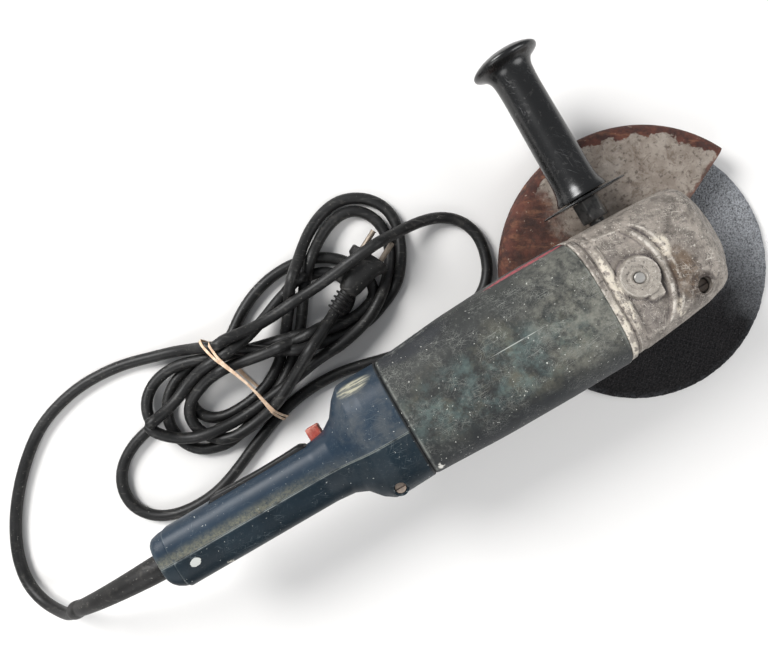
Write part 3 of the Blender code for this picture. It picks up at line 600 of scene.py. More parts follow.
# lifts strands over the plug's body, or keeps them under it
def clearPlug(p, plan):
    stations, wides, highs = np.array(plug["room"], float).T
    offset = p[:, :2] - plugNeck[:2]
    u, v = offset @ plugAhead[:2], np.abs(offset @ plugSide[:2])
    halfWide, halfHigh = np.interp(u, stations, wides), np.interp(u, stations, highs)
    radius = lead["thick"] / 2
    inside = (u > 4) & (u < 66) & (v < halfWide + radius) & (np.arange(len(p)) < len(p) - 25)
    rise = halfHigh + radius - 6 * np.clip((v - halfWide) / radius, 0, 1)
    over = inside & (plan[:, 2] > plugNeck[2] + 2)
    p[over, 2] = np.maximum(p[over, 2], plugNeck[2] + rise[over])
    under = inside & ~over
    p[under, 2] = np.minimum(p[under, 2], np.maximum(plugNeck[2] - rise[under], lead["floor"]))


# lets the lead sink onto the table and itself
def settleLead(way):
    plan = smoothWay(way, lead["step"])
    p = plan.copy()
    index = np.arange(len(p))
    free = np.ones(len(p))  # 0 where the lead is held at its two ends
    tail = int(lead["held"] / lead["step"])
    free[:tail] = np.linspace(0, 1, tail) ** 3
    free[-6:] = np.linspace(1, 0, 6)
    for turn in range(lead["rounds"]):
        late = turn / lead["rounds"]
        old = p.copy()
        if turn % 12 == 0:
            apart = np.linalg.norm(p[:, None, :2] - p[None, :, :2], axis=2)
            first, second = np.nonzero((apart < 2 * lead["thick"]) & (index[:, None] > index[None, :] + 9))
            above = np.where(plan[first, 2] >= plan[second, 2], 1.0, -1.0)
        p[:, 2] -= lead["weight"] * (1 - late)
        relax(p, 2, 1, 0.35)
        relax(p, 2, 4, 0.12 * (1 - late))
        relax(p, slice(0, 2), 1, 0.2)
        p[:, :2] += lead["hold"] * (plan[:, :2] - p[:, :2])
        for _ in range(3):
            pushApart(p, first, second, above)
        clearPlug(p, plan)
        p = old + (p - old) * free[:, None]
    return p


leadPath = settleLead(tailWay + firstTurns + overPlug + archWay + lowerLoop + lastTurn)


# a tone made darker or paler
def toned(tone, factor):
    return tuple(min(1.0, factor * c) for c in tone)


castTones = {
    "dark": (0.22, 0.19, 0.163), "pale": (0.385, 0.342, 0.296), "grime": (0.088, 0.075, 0.064),
    "shade": (0.1, 0.085, 0.075), "bed": (0.14, 0.12, 0.108), "plate": (0.46, 0.42, 0.36),
    "groove": (0.075, 0.062, 0.066), "oldPaint": (0.72, 0.65, 0.54), "stain": (0.13, 0.078, 0.04),
    "soot": (0.06, 0.045, 0.036), "hole": (0.034, 0.022, 0.017), "bare": (0.66, 0.61, 0.54),
    "speck": (0.68, 0.64, 0.57), "pit": (0.06, 0.05, 0.045),
}


# sand-cast aluminium, dirty in patches, with painted shade in its creases, and rubbed bright on its edges
def castMetal():
    g = Graph("castMetal")
    cloud = g.noise(38, 6, 0.66)
    grime = g.patches(0.43, 0.62, 95, 7, 0.74)
    g.ground(g.step(cloud, 0.3, 0.7), castTones["dark"], castTones["pale"])
    g.coat(grime * 0.75, castTones["grime"])
    # painted shade: darker on the side towards -Y, away from the key light
    g.coat((1 - g.along(1, -46, -24)) * 0.45, castTones["shade"])
    ridge, bed, plate = g.stored("ridge"), g.stored("bed"), g.stored("plate")
    # painted shade in the sunk bed inside the ridge, broken into patches
    g.coat(bed * g.patches(0.36, 0.6, 70, 5, 0.65, shift=2) * 0.7, castTones["bed"])
    g.coat(plate * 0.4, castTones["plate"])
    # painted shade: darker in the creases of the casting
    g.coat((1 - g.edges(0.42, 0.485)) * 0.85, castTones["groove"])
    # flakes of old paint along the joint and beyond the ridge
    painted = [((-69.2, -26, 124), (3.6, 27, 14), 0.5), ((-61.5, 6, 127), (3.6, 34, 6), 0.6),
               ((-17.5, 17, 126), (5.5, 9, 8), 0.6), ((-27, -29, 124), (4, 8, 9), 0.6)]
    cream = g.clamp(sum(g.spot(*place) for place in painted)) * g.patches(0.44, 0.54, 190, 4, 0.65)
    g.coat(cream * 0.85, castTones["oldPaint"])
    # a brown stain and soot towards the screw, and painted shade darkest in its hole
    stain = g.spot((-12, -9, 126), (10, 19, 9), 0.9) * g.patches(0.32, 0.54, 95, 5, 0.65)
    g.coat(stain * 0.8, castTones["stain"])
    soot = g.spot((-6, -17, 125), (22, 20, 14), 0.9) * g.patches(0.42, 0.6, 140, 7, 0.72, shift=6)
    g.coat(soot * 0.7, castTones["soot"])
    # painted shade down the screw's hole
    hole = g.spot((-4.5, -23, 124), (10.5, 10.5, 9), 0.6) * g.patches(0.32, 0.6, 160, 4, 0.6, bend=1.5)
    g.coat(hole * 0.95, castTones["hole"])
    # bright where the casting is rubbed, with a painted highlight along the ridge round the recess
    rubbed = g.clamp(g.edges(0.51, 0.56) + ridge * 0.5) * g.patches(0.4, 0.6, 150, 5, 0.65)
    marks = g.marks((20, 0.06), (-55, 0.05, 2400, 90, 3), (80, 0.05, 2600, 120, 7)) * g.patches(0.42, 0.6, 60)
    bright = g.clamp(rubbed * 0.85 + marks * 0.7)
    g.coat(bright, castTones["bare"])
    g.coat(g.patches(0.63, 0.69, 520, 3, 0.6) * 0.6, castTones["speck"])
    pits = g.patches(0.6, 0.68, 430, 3, 0.6, shift=3)
    g.coat(pits * 0.75, castTones["pit"])
    height = g.noise(700, 5, 0.65) * 0.5 + cloud * 0.5 + grime * 0.25 - marks * 0.3 - pits * 0.4 + cream * 0.2
    return g.finish(0.62 - bright * 0.2 + grime * 0.1, 0.2 + bright * 0.35, height, 0.0009, 0.75)


# dirt in the joint between the motor housing and the rear handle
def jointShade(g):
    return g.along(0, -241.6, -240.4) * (1 - g.along(0, -238.4, -237.0))


shellTones = {
    "dark": (0.010, 0.0115, 0.012), "worn": (0.031, 0.033, 0.03), "olive": (0.108, 0.102, 0.072),
    "teal": (0.095, 0.14, 0.132), "dust": (0.25, 0.245, 0.205), "kept": (0.014, 0.016, 0.02),
    "blotch": (0.013, 0.0135, 0.0135), "frost": (0.34, 0.35, 0.31), "scratch": (0.4, 0.41, 0.37),
    "edge": (0.27, 0.28, 0.25), "joint": (0.006, 0.0065, 0.007), "speck": (0.62, 0.62, 0.57),
    "stripe": (0.36, 0.06, 0.075), "longScratch": (0.5, 0.52, 0.48), "chip": (0.7, 0.68, 0.62),
}


# dark housing plastic, scratched and gone pale where hands and dust reach
def wornShell():
    g = Graph("wornShell")
    cloud = g.noise(24, 6, 0.65, bend=0.6)
    g.ground(g.step(cloud, 0.35, 0.68), shellTones["dark"], shellTones["worn"])
    olive = g.patches(0.46, 0.66, 30, 7, 0.7, shift=1) * g.spot((-150, -2, 126), (105, 32, 60), 0.9)
    g.coat(olive * 0.7, shellTones["olive"])
    teal = g.patches(0.4, 0.66, 60, 8, 0.76, shift=5) * g.spot((-170, -4, 126), (78, 22, 60), 0.9)
    g.coat(teal * 0.7, shellTones["teal"])
    front = g.spot((-88, 10, 124), (40, 46, 40), 0.9) * g.patches(0.36, 0.66, 75, 8, 0.78, shift=9)
    g.coat(front * 0.62, shellTones["dust"])
    # the strip by the handle that nothing has rubbed, and painted shade on the side towards -Y
    kept = g.clamp(g.spot((-212, 50, 112), (34, 13, 30), 0.4) + (1 - g.along(1, -48, -26)) * 0.85)
    g.coat(kept * 0.85, shellTones["kept"])
    g.coat(g.patches(0.5, 0.66, 120, 6, 0.7, shift=4) * 0.7, shellTones["blotch"])
    frost = g.patches(0.5, 0.68, 330, 9, 0.8) * g.patches(0.42, 0.62, 38, 4, 0.6, shift=7)
    g.coat(frost * 0.3 * (1 - kept * 0.8), shellTones["frost"])
    marks = g.marks((0, 0.07, 2600, 70), (28, 0.065, 2800, 100, 2), (-35, 0.06, 2600, 90, 4),
                    (62, 0.06, 3000, 120, 6), (-75, 0.055, 2800, 110, 8))
    marks = marks * g.patches(0.42, 0.64, 55, 4) * (1 - kept * 0.7)
    g.coat(marks * 0.34, shellTones["scratch"])
    rubbed = g.edges(0.505, 0.53) * g.patches(0.42, 0.6, 110, 4)
    g.coat(rubbed * 0.5, shellTones["edge"])
    g.coat(jointShade(g) * 0.9, shellTones["joint"])
    g.coat(g.patches(0.71, 0.74, 520, 2, 0.5) * 0.8, shellTones["speck"])
    # what is left of a red stripe, one long scratch and a chip
    red = g.spot((-106, 54.5, 101), (37, 5.0, 4.4), 0.35) * g.patches(0.36, 0.5, 260, 6, 0.75)
    g.coat(red * 0.85, shellTones["stripe"])
    long = g.spot((-142, 9, 128), (20, 0.36, 12), 0.6) * g.patches(0.34, 0.5, 160, 3)
    g.coat(long * 0.6, shellTones["longScratch"])
    chip = g.spot((-233, -44, 117), (3.0, 4.0, 8), 0.4) * g.patches(0.42, 0.5, 260, 3)
    g.coat(chip, shellTones["chip"])
    rough = 0.52 + cloud * 0.2 - marks * 0.1 + frost * 0.15
    height = g.noise(900, 4, 0.65) * 0.4 - marks * 0.5 + cloud * 0.6 + frost * 0.3
    return g.finish(rough, 0.0, height, 0.0005, 0.6, Specular_IOR_Level=0.4)


handleTones = {
    "worn": (0.085, 0.09, 0.09), "dust": (0.2, 0.19, 0.13), "ledge": (0.4, 0.38, 0.28),
    "paint": (0.5, 0.51, 0.48), "chip": (0.42, 0.4, 0.34), "seam": (0.26, 0.28, 0.26),
    "scratch": (0.2, 0.235, 0.25), "frost": (0.26, 0.275, 0.27), "edge": (0.22, 0.25, 0.25),
    "joint": (0.006, 0.0065, 0.007), "speck": (0.5, 0.52, 0.5),
}


# the rear handle's plastic: one shell is dusty, the other has a blot of paint and a chip
def shellPlastic(name, low, high, dustAndSheen):
    g = Graph(name)
    cloud = g.noise(20, 5, 0.62)
    g.ground(g.step(cloud, 0.3, 0.7), low, high)
    seam = (g.axes()[1] - float(spindleY + seamY * mm)) * (1 / mm)
    flare = g.along(0, -310, -275)
    worn = flare * g.patches(0.42, 0.66, 42, 6, 0.7, shift=2)
    g.coat(worn * (0.5 if dustAndSheen else 0.12), handleTones["worn"])
    if dustAndSheen:
        near = 1 - g.step(seam, 2, 11)
        fade = 1 - g.along(0, -370, -290)
        g.coat(near * (0.12 + fade * 0.88) * g.patches(0.26, 0.7, 420, 8, 0.8) * 0.8, handleTones["dust"])
        streaks = g.patches(0.42, 0.6, 1, 3, 0.6, vector=g.stretched((60, 700, 300)))
        ledge = g.spot((-262, 42, 116), (16, 6.5, 12), 0.5) * g.clamp(streaks + 0.25)
        g.coat(ledge * 0.85, handleTones["ledge"])
    else:
        blot = (-428.5, -15.5, 102)
        paint = g.step(g.spot(blot, (3.9, 3, 9), 1) + g.noise(210, 5, 0.7) * 1.5, 1.06, 1.16)
        paint = paint * g.spot(blot, (6.2, 4.8, 12), 0.3)
        g.coat(paint * 0.88, handleTones["paint"])
        chip = g.spot((-408, -30, 96), (2.6, 2.4, 6), 0.4) * g.patches(0.42, 0.5, 400, 3)
        g.coat(chip, handleTones["chip"])
    # a painted highlight along the line where the two shells meet, in patches
    line = 1 - g.step(g.math("ABSOLUTE", seam), 0.5, 1)
    g.coat(line * 0.5 * g.patches(0.35, 0.55, 70, 4), handleTones["seam"])
    marks = g.marks((3, 0.045, 2400, 50), (40, 0.035, 2600, 90, 3), (-50, 0.035, 2600, 90, 6))
    marks = marks * g.patches(0.45, 0.64, 50, 4)
    g.coat(marks * 0.28, handleTones["scratch"])
    frost = g.patches(0.53, 0.7, 380, 8, 0.8) * (0.2 + flare * (0.6 if dustAndSheen else 0.2))
    g.coat(frost * 0.2, handleTones["frost"])
    rubbed = g.edges(0.51, 0.56) * g.patches(0.4, 0.62, 140, 4)
    g.coat(rubbed * 0.6, handleTones["edge"])
    g.coat(jointShade(g) * 0.9, handleTones["joint"])
    g.coat(g.patches(0.72, 0.75, 560, 2, 0.5) * 0.7, handleTones["speck"])
    rough = 0.36 + cloud * 0.12 + marks * 0.15 + worn * 0.2
    height = g.noise(1500, 2, 0.5) * 0.3 - marks * 0.4
    return g.finish(rough, 0.0, height, 0.0003, 0.45, Specular_IOR_Level=0.3 if dustAndSheen else 0.2)


# rubber or black plastic with a little dust, specks and long scuffs
def rubber(name, tone, rough, dustShare):
    g = Graph(name)
    cloud = g.noise(46, 4, 0.6)
    g.ground(g.step(cloud, 0.35, 0.7), toned(tone, 0.65), toned(tone, 1.5))
    dust = g.patches(0.52, 0.75, 150, 6, 0.7) * dustShare
    g.coat(dust, (0.2, 0.185, 0.16))
    g.coat(g.patches(0.7, 0.74, 600, 2, 0.5) * 0.5, (0.3, 0.29, 0.26))
    scuffs = g.patches(0.62, 0.7, 1, 2, 0.5, vector=g.stretched((60, 420, 300), 33))
    g.coat(scuffs * 0.3, (0.12, 0.115, 0.105))
    height = g.noise(1000) * 0.3
    return g.finish(rough + cloud * 0.12 + dust * 0.3, 0.0, height, 0.0003, 0.35, Specular_IOR_Level=0.3)


def glossBlack():
    g = Graph("glossBlack")
    cloud = g.noise(40, 4, 0.6)
    marks = g.marks((88, 0.03, 2400, 50), (50, 0.03, 2400, 80, 3)) * g.patches(0.45, 0.6, 40)
    g.ground(cloud * 0.5, (0.005, 0.005, 0.005), (0.012, 0.012, 0.012))
    dust = g.patches(0.56, 0.75, 190, 5, 0.7) * 0.2
    g.coat(dust, (0.16, 0.15, 0.14))
    g.coat(marks * 0.35, (0.13, 0.13, 0.13))
    rough = 0.22 + marks * 0.2 + dust * 0.8 + cloud * 0.08
    return g.finish(rough, 0.0, cloud * 0.6 - marks * 0.3, 0.0004, 0.3)


sheetTones = {
    "greyDark": (0.2, 0.163, 0.132), "greyPale": (0.31, 0.268, 0.226), "smear": (0.11, 0.078, 0.056),
    "greySpot": (0.06, 0.042, 0.032), "bare": (0.42, 0.385, 0.34), "rustDark": (0.027, 0.0085, 0.006),
    "rustPale": (0.1, 0.03, 0.018), "streak": (0.24, 0.105, 0.055), "rustSpot": (0.035, 0.016, 0.013),
    "flake": (0.4, 0.31, 0.24),
}


# pressed sheet with thin grey paint over it, and rust round its rim, at its left end and along its cut edge
def rustySheet():
    g = Graph("rustySheet")
    x, y, _ = g.axes()
    out = g.fromSpindle()
    wave = g.noise(30, 6, 0.7)
    cloud = g.noise(70, 7, 0.7)
    rim = g.step(out + g.noise(60, 6, 0.62, shift=3) * 32, 126, 128)
    left = 1 - g.step(x + (wave - 0.5) * 0.05, spindleX - 0.052, spindleX - 0.036)
    inside = (y - spindleY) * 0.894 - (x - spindleX) * 0.448 + (g.noise(90, 5, 0.7) - 0.5) * 0.02
    cut = (1 - g.step(inside, 0.0015, 0.0045)) * g.step(x, spindleX + 0.04, spindleX + 0.07) * 0.85
    rust = g.clamp(rim + left * 0.95 + cut)
    grey = g.mix(g.step(cloud, 0.35, 0.68), sheetTones["greyDark"], sheetTones["greyPale"])
    smear = g.patches(0.51, 0.62, 64, 7, 0.75, shift=2, bend=1.2)
    grey = g.mix(smear * 0.7, grey, sheetTones["smear"])
    grey = g.mix(g.patches(0.53, 0.64, 230, 6, 0.7) * 0.75, grey, sheetTones["greySpot"])
    pale = g.patches(0.56, 0.62, 62, 6, 0.7, shift=6)
    grey = g.mix(pale * 0.22, grey, sheetTones["bare"])
    red = g.mix(g.step(cloud, 0.35, 0.65), sheetTones["rustDark"], sheetTones["rustPale"])
    streak = g.patches(0.5, 0.68, 1, 5, 0.65, vector=g.stretched((36, 150, 120), 30))
    red = g.mix(streak * 0.55, red, sheetTones["streak"])
    red = g.mix(g.patches(0.52, 0.64, 150, 6, 0.7, shift=8) * 0.7, red, sheetTones["rustSpot"])
    flakes = g.patches(0.64, 0.69, 240, 5, 0.65)
    g.ground(rust, grey, g.mix(flakes * 0.6, red, sheetTones["flake"]))
    height = cloud * 0.8 + g.noise(420, 6, 0.7) * 0.7 + rust * g.noise(220, 5) * 0.7 + pale * 0.15
    return g.finish(0.6 + rust * 0.22, 0.15 - rust * 0.12, height, 0.0009, 0.75)


# threads of the glass net that shows through the resin
def weave(g, turn):
    across = g.add("ShaderNodeSeparateXYZ", None, Vector=g.stretched((1, 1, 1), turn))["Y"]
    return g.step(g.math("SINE", across * (2 * math.pi / 0.0042)), 0.62, 0.85)


discTones = {
    "resin": (0.018, 0.016, 0.0165), "grit": (0.004, 0.004, 0.0045), "paintedSheen": (0.36, 0.372, 0.39),
    "stain": (0.04, 0.036, 0.035), "paintedGlints": (0.42, 0.44, 0.47), "net": (0.1, 0.1, 0.105),
    "rim": (0.16, 0.17, 0.185),
}


# black grit in resin, with a painted grey-blue sheen in specks on the side away from the handle
def abrasiveDisc():
    g = Graph("abrasiveDisc")
    x, y, _ = g.axes()
    out = g.fromSpindle()
    grit = g.add("ShaderNodeTexVoronoi", None, Vector=g.coords, Scale=620)["Distance"]
    cloud = g.noise(40, 4, 0.6)
    g.ground(g.step(grit, 0.2, 0.75), discTones["resin"], discTones["grit"])
    # painted sheen: paler on the side away from the handle, fading out towards the head
    dustAndSheen = g.step((x - spindleX) * 0.97 + (y - spindleY) * 0.24 + (cloud - 0.5) * 0.05, 0.02, 0.105)
    g.coat(dustAndSheen * g.patches(0.3, 0.62, 650, 6, 0.75) * 0.88, discTones["paintedSheen"])
    g.coat(g.step(cloud, 0.4, 0.7) * 0.15, discTones["stain"])
    # painted glints, mostly on the side of the painted sheen
    paintedGlints = g.patches(0.66, 0.7, 900, 2)
    g.coat(paintedGlints * 0.5 * (0.12 + dustAndSheen * 0.88), discTones["paintedGlints"])
    net = g.clamp(weave(g, 45) + weave(g, -45)) * (1 - g.step(out, 100, 108))
    g.coat(net * 0.06, discTones["net"])
    # a paler worn rim, stronger on the side of the painted sheen
    worn = g.step(out, 108, 114) * g.patches(0.42, 0.6, 260, 5, 0.7)
    g.coat(worn * (0.15 + dustAndSheen * 0.4), discTones["rim"])
    return g.finish(0.86 - paintedGlints * 0.3, 0.0, grit + net * 0.5, 0.0009, 0.9, Specular_IOR_Level=0.22)


def steel(name, tone, rough, oil=0.4, metallic=0.95):
    g = Graph(name)
    cloud = g.noise(120, 5, 0.65)
    dirt = g.step(cloud, 0.45, 0.75) * oil
    g.ground(dirt, tone, toned(tone, 0.28))
    marks = g.marks((15, 0.05), (-60, 0.04, 2600, 90, 3))
    g.coat(marks * 0.4, toned(tone, 1.6))
    g.coat(g.edges(0.52, 0.6) * 0.4, toned(tone, 1.5))
    rough = rough + dirt * 0.35 - marks * 0.05
    return g.finish(rough, metallic - dirt * 0.4, cloud - marks * 0.3, 0.0002, 0.35)


# an old screw's head; bright is 1 in daylight and less as painted shade down in a hole
def brownScrew(name, bright):
    g = Graph(name)
    cloud = g.noise(320, 4, 0.65)
    g.ground(g.step(cloud, 0.4, 0.62), toned((0.07, 0.042, 0.03), bright), toned((0.24, 0.16, 0.11), bright))
    g.coat(g.edges(0.52, 0.6) * 0.6, toned((0.38, 0.32, 0.27), bright))
    return g.finish(0.55 + cloud * 0.2, 0.55, cloud, 0.0003, 0.5)


def wornBlackMetal():
    g = Graph("wornBlackMetal")
    cloud = g.noise(130, 5, 0.65)
    g.ground(g.step(cloud, 0.35, 0.7), (0.008, 0.008, 0.008), (0.035, 0.032, 0.03))
    bare = g.clamp(g.edges(0.53, 0.6) * g.patches(0.35, 0.55, 220, 4) + g.step(cloud, 0.62, 0.66) * 0.5)
    g.coat(bare, (0.5, 0.48, 0.45))
    return g.finish(0.42 - bare * 0.1, bare * 0.9, cloud, 0.0003, 0.4)


def wornRed():
    g = Graph("wornRed")
    cloud = g.noise(160, 4, 0.6)
    g.ground(g.step(cloud, 0.35, 0.7), (0.22, 0.03, 0.02), (0.42, 0.065, 0.04))
    rubbed = g.edges(0.51, 0.56) * g.patches(0.35, 0.6, 300, 3)
    g.coat(rubbed * 0.7, (0.6, 0.3, 0.23))
    marks = g.scratches(60, 0.06, 2600, 150)
    g.coat(marks * 0.4, (0.6, 0.3, 0.24))
    return g.finish(0.42 + cloud * 0.2, 0.0, cloud * 0.5 - marks * 0.4, 0.0003, 0.4)


def windings():
    g = Graph("windings")
    wires = g.math("SINE", g.axes()[1] * (2 * math.pi / 0.0011))
    cloud = g.noise(140)
    g.ground(g.step(wires, -0.9, 0.4), (0.12, 0.035, 0.012), (0.55, 0.19, 0.07))
    g.coat(cloud * 0.3, (0.2, 0.08, 0.03))
    return g.finish(0.35 + cloud * 0.2, 0.75, wires * 0.5, 0.0004, 0.6)


def pressedCarbon():
    g = Graph("pressedCarbon")
    grain = g.noise(900, 4, 0.6)
    g.ground(grain, (0.02, 0.02, 0.022), (0.07, 0.07, 0.075))
    return g.finish(0.5 + grain * 0.2, 0.1, grain, 0.0002, 0.4)


def tanBand():
    g = Graph("tanBand")
    cloud = g.noise(240, 4, 0.6)
    g.ground(g.step(cloud, 0.35, 0.68), (0.6, 0.4, 0.26), (0.8, 0.62, 0.46))
    fibre = g.patches(0.55, 0.66, 1, 2, 0.5, vector=g.stretched((1800, 90, 900), 73))
    g.coat(fibre * 0.35, (0.82, 0.64, 0.48))
    return g.finish(0.62 + cloud * 0.2, 0.0, cloud + fibre * 0.4, 0.0002, 0.4)


finishes = {
    "cast_aluminium": castMetal(),
    "worn_housing": wornShell(),
    "navy": shellPlastic("navyShell", (0.0055, 0.0155, 0.029), (0.012, 0.027, 0.046), True),
    # the same plastic about half as bright for the shell towards -Y: painted shade
    "teal": shellPlastic("shadedTealShell", (0.0025, 0.0075, 0.012), (0.006, 0.015, 0.0225), False),
    "black_rubber": rubber("leadRubber", (0.01, 0.0098, 0.0096), 0.4, 0.16),
    "boot": rubber("bootRubber", (0.0095, 0.0088, 0.0082), 0.46, 0.18),
    "plug": rubber("plugRubber", (0.009, 0.0086, 0.0082), 0.48, 0.2),
    "gloss": glossBlack(),
    "black_plastic": rubber("mattBlack", (0.008, 0.008, 0.0085), 0.42, 0.12),
    "rusty_sheet": rustySheet(),
    "abrasive": abrasiveDisc(),
    "bright_steel": steel("machinedSteel", (0.5, 0.49, 0.47), 0.3),
    "pin_steel": steel("wornPinSteel", (0.4, 0.385, 0.36), 0.42, 0.4),
    "plug_pins": steel("platedPins", (0.2, 0.165, 0.13), 0.45, 0.6, 0.6),
    "stud_steel": wornBlackMetal(),
    "dark_steel": steel("darkSteel", (0.13, 0.125, 0.12), 0.45, 0.4),
    "brown_screw": brownScrew("brownScrew", 1.0),
    # a darker copy for the top screw: painted shade down in its hole
    "shaded_hole_screw": brownScrew("shadedHoleScrew", 0.3),
    "red_plastic": wornRed(),
    "copper": windings(),
    "carbon": pressedCarbon(),
    "tan_rubber": tanBand(),
}
print("finishes made:", len(finishes))


def makeLead(points):
    data = bpy.data.curves.new("mainsLead", "CURVE")
    data.dimensions = "3D"
    data.bevel_depth = lead["thick"] / 2 * mm
    data.bevel_resolution = 5
    data.use_fill_caps = True
    spline = data.splines.new("POLY")
    spline.points.add(len(points) - 1)
    for slot, p in zip(spline.points, points):
        slot.co = (*(p * mm), 1)
    spline.use_smooth = True
    data.materials.append(finishes["black_rubber"])
    return placed("mainsLead", data)


# x, height and radius of the tapered boot, which starts inside the handle
boot = [
    (-446, 81, 8.6), (-456.4, 81, 9), (-457.6, 81, 10.2), (-459.5, 81, 10.6), (-470, 80.6, 10.3),
    (-486, 78.8, 9.5), (-503, 75, 8.7), (-520, 69, 7.9), (-536, 60.5, 7.2), (-543, 55.8, 6.9),
    (-547, 52.7, 6.7), (-549.5, 50.9, 7.3), (-553, 48.1, 7.6), (-556, 45.7, 7.4), (-556.8, 45, 6.2),
]


def makeBoot():
    collarX = -549
    way = np.array([(x, seamY - 0.05 * max(collarX - x, 0), z) for x, z, _ in boot])
    fine = smoothWay(way, 1.6)
    radii = np.interp(-fine[:, 0], -way[:, 0], [radius for _, _, radius in boot])
    return lofted("cordBoot", tubeRings(fine, radii, 40), finishes["boot"], 50)


def makePlug():
    angle = np.linspace(0, 2 * np.pi, 48, endpoint=False)
    c, s = np.cos(angle), np.sin(angle)
    up = np.array([0, 0, 1.0])
    rings = []
    for u, wide, high in [(u, r, r) for u, r in plug["ribs"]] + plug["body"]:
        square = 2 + 1.4 * np.clip((u - 26) / 16, 0, 1) * (1 if u < 48.4 else 0.55)
        v = wide * np.sign(c) * np.abs(c) ** (2 / square)
        w = high * np.sign(s) * np.abs(s) ** (2 / square)
        w -= 0.9 * math.exp(-((u - 36) / 6) ** 2) * np.exp(-(v / 7) ** 2) * np.sign(s)  # grip hollows
        rings.append(toTool(plugNeck + u * plugAhead + v[:, None] * plugSide + w[:, None] * up))
    return lofted("mainsPlug", rings, finishes["plug"], 50)


band = {
    # where each of its two turns starts and ends
    "ends": [((-187.5, 86.5), (-160.5, -3.5)), ((-183.5, 88.0), (-163.5, -5.0))],
    "wide": 2.1, "thick": 0.9, "sway": 1.2, "around": 160,
}


# the tightest closed line round flat points
def hullRound(points):
    points = points[np.lexsort((points[:, 1], points[:, 0]))]
    hull = []
    for run in (points, points[::-1]):
        part = []
        for q in run:
            while len(part) > 1 and np.cross(part[-1] - part[-2], q - part[-2]) <= 0:
                part.pop()
            part.append(q)
        hull += part[:-1]
    return np.array(hull + hull[:1])


# the loop lies round every strand that an upright plane through the winding meets
def makeBand():
    turn = np.linspace(0, 2 * np.pi, 40, endpoint=False)
    reach = lead["thick"] / 2 + band["thick"] / 2 + 0.15
    section = [(-1, -0.6), (-0.6, -1), (0.6, -1), (1, -0.6), (1, 0.6), (0.6, 1), (-0.6, 1), (-1, 0.6)]
    points, faces = [], []
    for start, end in np.array(band["ends"], float):
        span = np.linalg.norm(end - start)
        ahead = (end - start) / span
        side = np.array([-ahead[1], ahead[0]])
        offset = leadPath[:, :2] - start
        s, t = offset @ ahead, offset @ side
        close = (np.abs(t) < 3.5) & (s > -8) & (s < span + 8)
        cloud = np.concatenate([np.stack([a + reach * np.cos(turn), z + reach * np.sin(turn)], 1)
                                for a, z in zip(s[close], leadPath[close, 2])])
        cloud[:, 1] = np.maximum(cloud[:, 1], 0.7)
        loop = evenly(hullRound(cloud), band["around"], endpoint=False)
        along = np.roll(loop, 1, 0) - np.roll(loop, -1, 0)
        outward = np.stack([-along[:, 1], along[:, 0]], 1) / np.linalg.norm(along, axis=1)[:, None]
        sways = band["sway"] * np.sin(np.arange(len(loop)) / len(loop) * 2 * np.pi * 3)
        first = len(points)
        for q, n, sway in zip(loop, outward, sways):
            for a, b in section:
                r = q + n * b * band["thick"] / 2
                spot = start + ahead * r[0] + side * (a * band["wide"] / 2 + sway)
                points.append((*spot, r[1]))
        faces += [tuple(first + i for i in f) for f in loftFaces(len(loop), len(section), loop=True)]
    return makeMesh("rubberLoop", toTool(points), faces, finishes["tan_rubber"], 60)


cordBoot = fit(makeBoot(), "tool", "black_rubber", "strain_relief")
mainsPlug = fit(makePlug(), "tool", "black_rubber", "plug_body")
rubberLoop = fit(makeBand(), "tool", "tan_rubber", "rubber_band")
mainsLead = fit(makeLead(leadPath), "tool", "black_rubber",
                "cord_tail", "cord_arch", "cord_lower_loop", "cord_bundle")
print("lead, plug, boot and rubber loop made")


head = {
    "sections": [(-71.7, -49.5, 54, 33.5, 128.5), (-46, -46.5, 53, 33.8, 128), (-43.5, -46, 53, 41.3, 128),
                 (-20, -43.5, 52.5, 41.3, 126.5), (0, -40.5, 51.5, 41.3, 124.5),
                 (14, -37, 50.5, 41.5, 121.5), (20, -35, 49, 41.6, 117), (25, -32.5, 47, 42.3, 108.5),
                 (30, -30, 44, 43, 99), (38, -24.5, 35, 46, 85), (42.8, -17, 21, 54, 77)],
    "around": 320,
    "arc": (-63, 5, 39.5, 52),  # middle x and y, depth and half width of the ridge round the recess
    "boss": (-43, 5.5, 15.5, 129.2),  # middle x and y, radius and height of its face
    "pin": (-44.5, 5.5), "screw": (-3.4, -23.7),
    "handleX": -34.0, "flangeScrews": 25.1,
}


# the flange at the joint: a rim, a groove and a second, lower band
def shapeFlange(rings, middleY, middleZ):
    x = rings[..., 0]
    sink = 2.2 * hump(x, -65.4, 1.9) + 0.8 * within(x, -66, -64.5, -60, -57.5)
    sink = sink + 1.3 * hump(x, -57.8, 1.5) - 0.3 * hump(x, -71.2, 1.2)
    pressIn(rings, np.maximum(sink, 0) + 0.5 * (x < -71.3), middleY, middleZ)


# the sunk bed inside an arched ridge, the steps beyond it and the sharp-lipped pocket at the recess's corner
def shapeTop(x, y, z, topZ, top):
    arcX, arcY, arcDeep, arcWide = head["arc"]
    beyond = x - arcX - arcDeep * np.sqrt(np.clip(1 - ((y - arcY) / arcWide) ** 2, 0.01, 1))
    inY = within(y, -37, -33, 46, 49)
    bed = ease(x, -57.6, -56) * (1 - ease(beyond, -3.4, -1.6)) * inY * top
    ridge = hump(beyond, -0.2, 2.4) * inY * (x > -56) * top
    low = 3.0 * bed - 1.1 * ridge
    low += 2.4 * hump(beyond, 4.4, 2.0) * within(y, -33, -27, 40, 46) * top
    low -= 0.8 * hump(beyond, 8.0, 2.2) * within(y, -33, -27, 36, 44) * top
    lip = 43.0 + 3.0 * ease(x, -38, -58)
    inX = within(x, -61, -57, -39, -34)
    low += 3.6 * within(y, lip - 0.5, lip + 0.3, lip + 3, lip + 7.5) * inX * ease(z, topZ - 22, topZ - 12)
    low -= 1.2 * hump(y, lip - 1.2, 1.4) * inX * top
    z -= low
    return bed, ridge


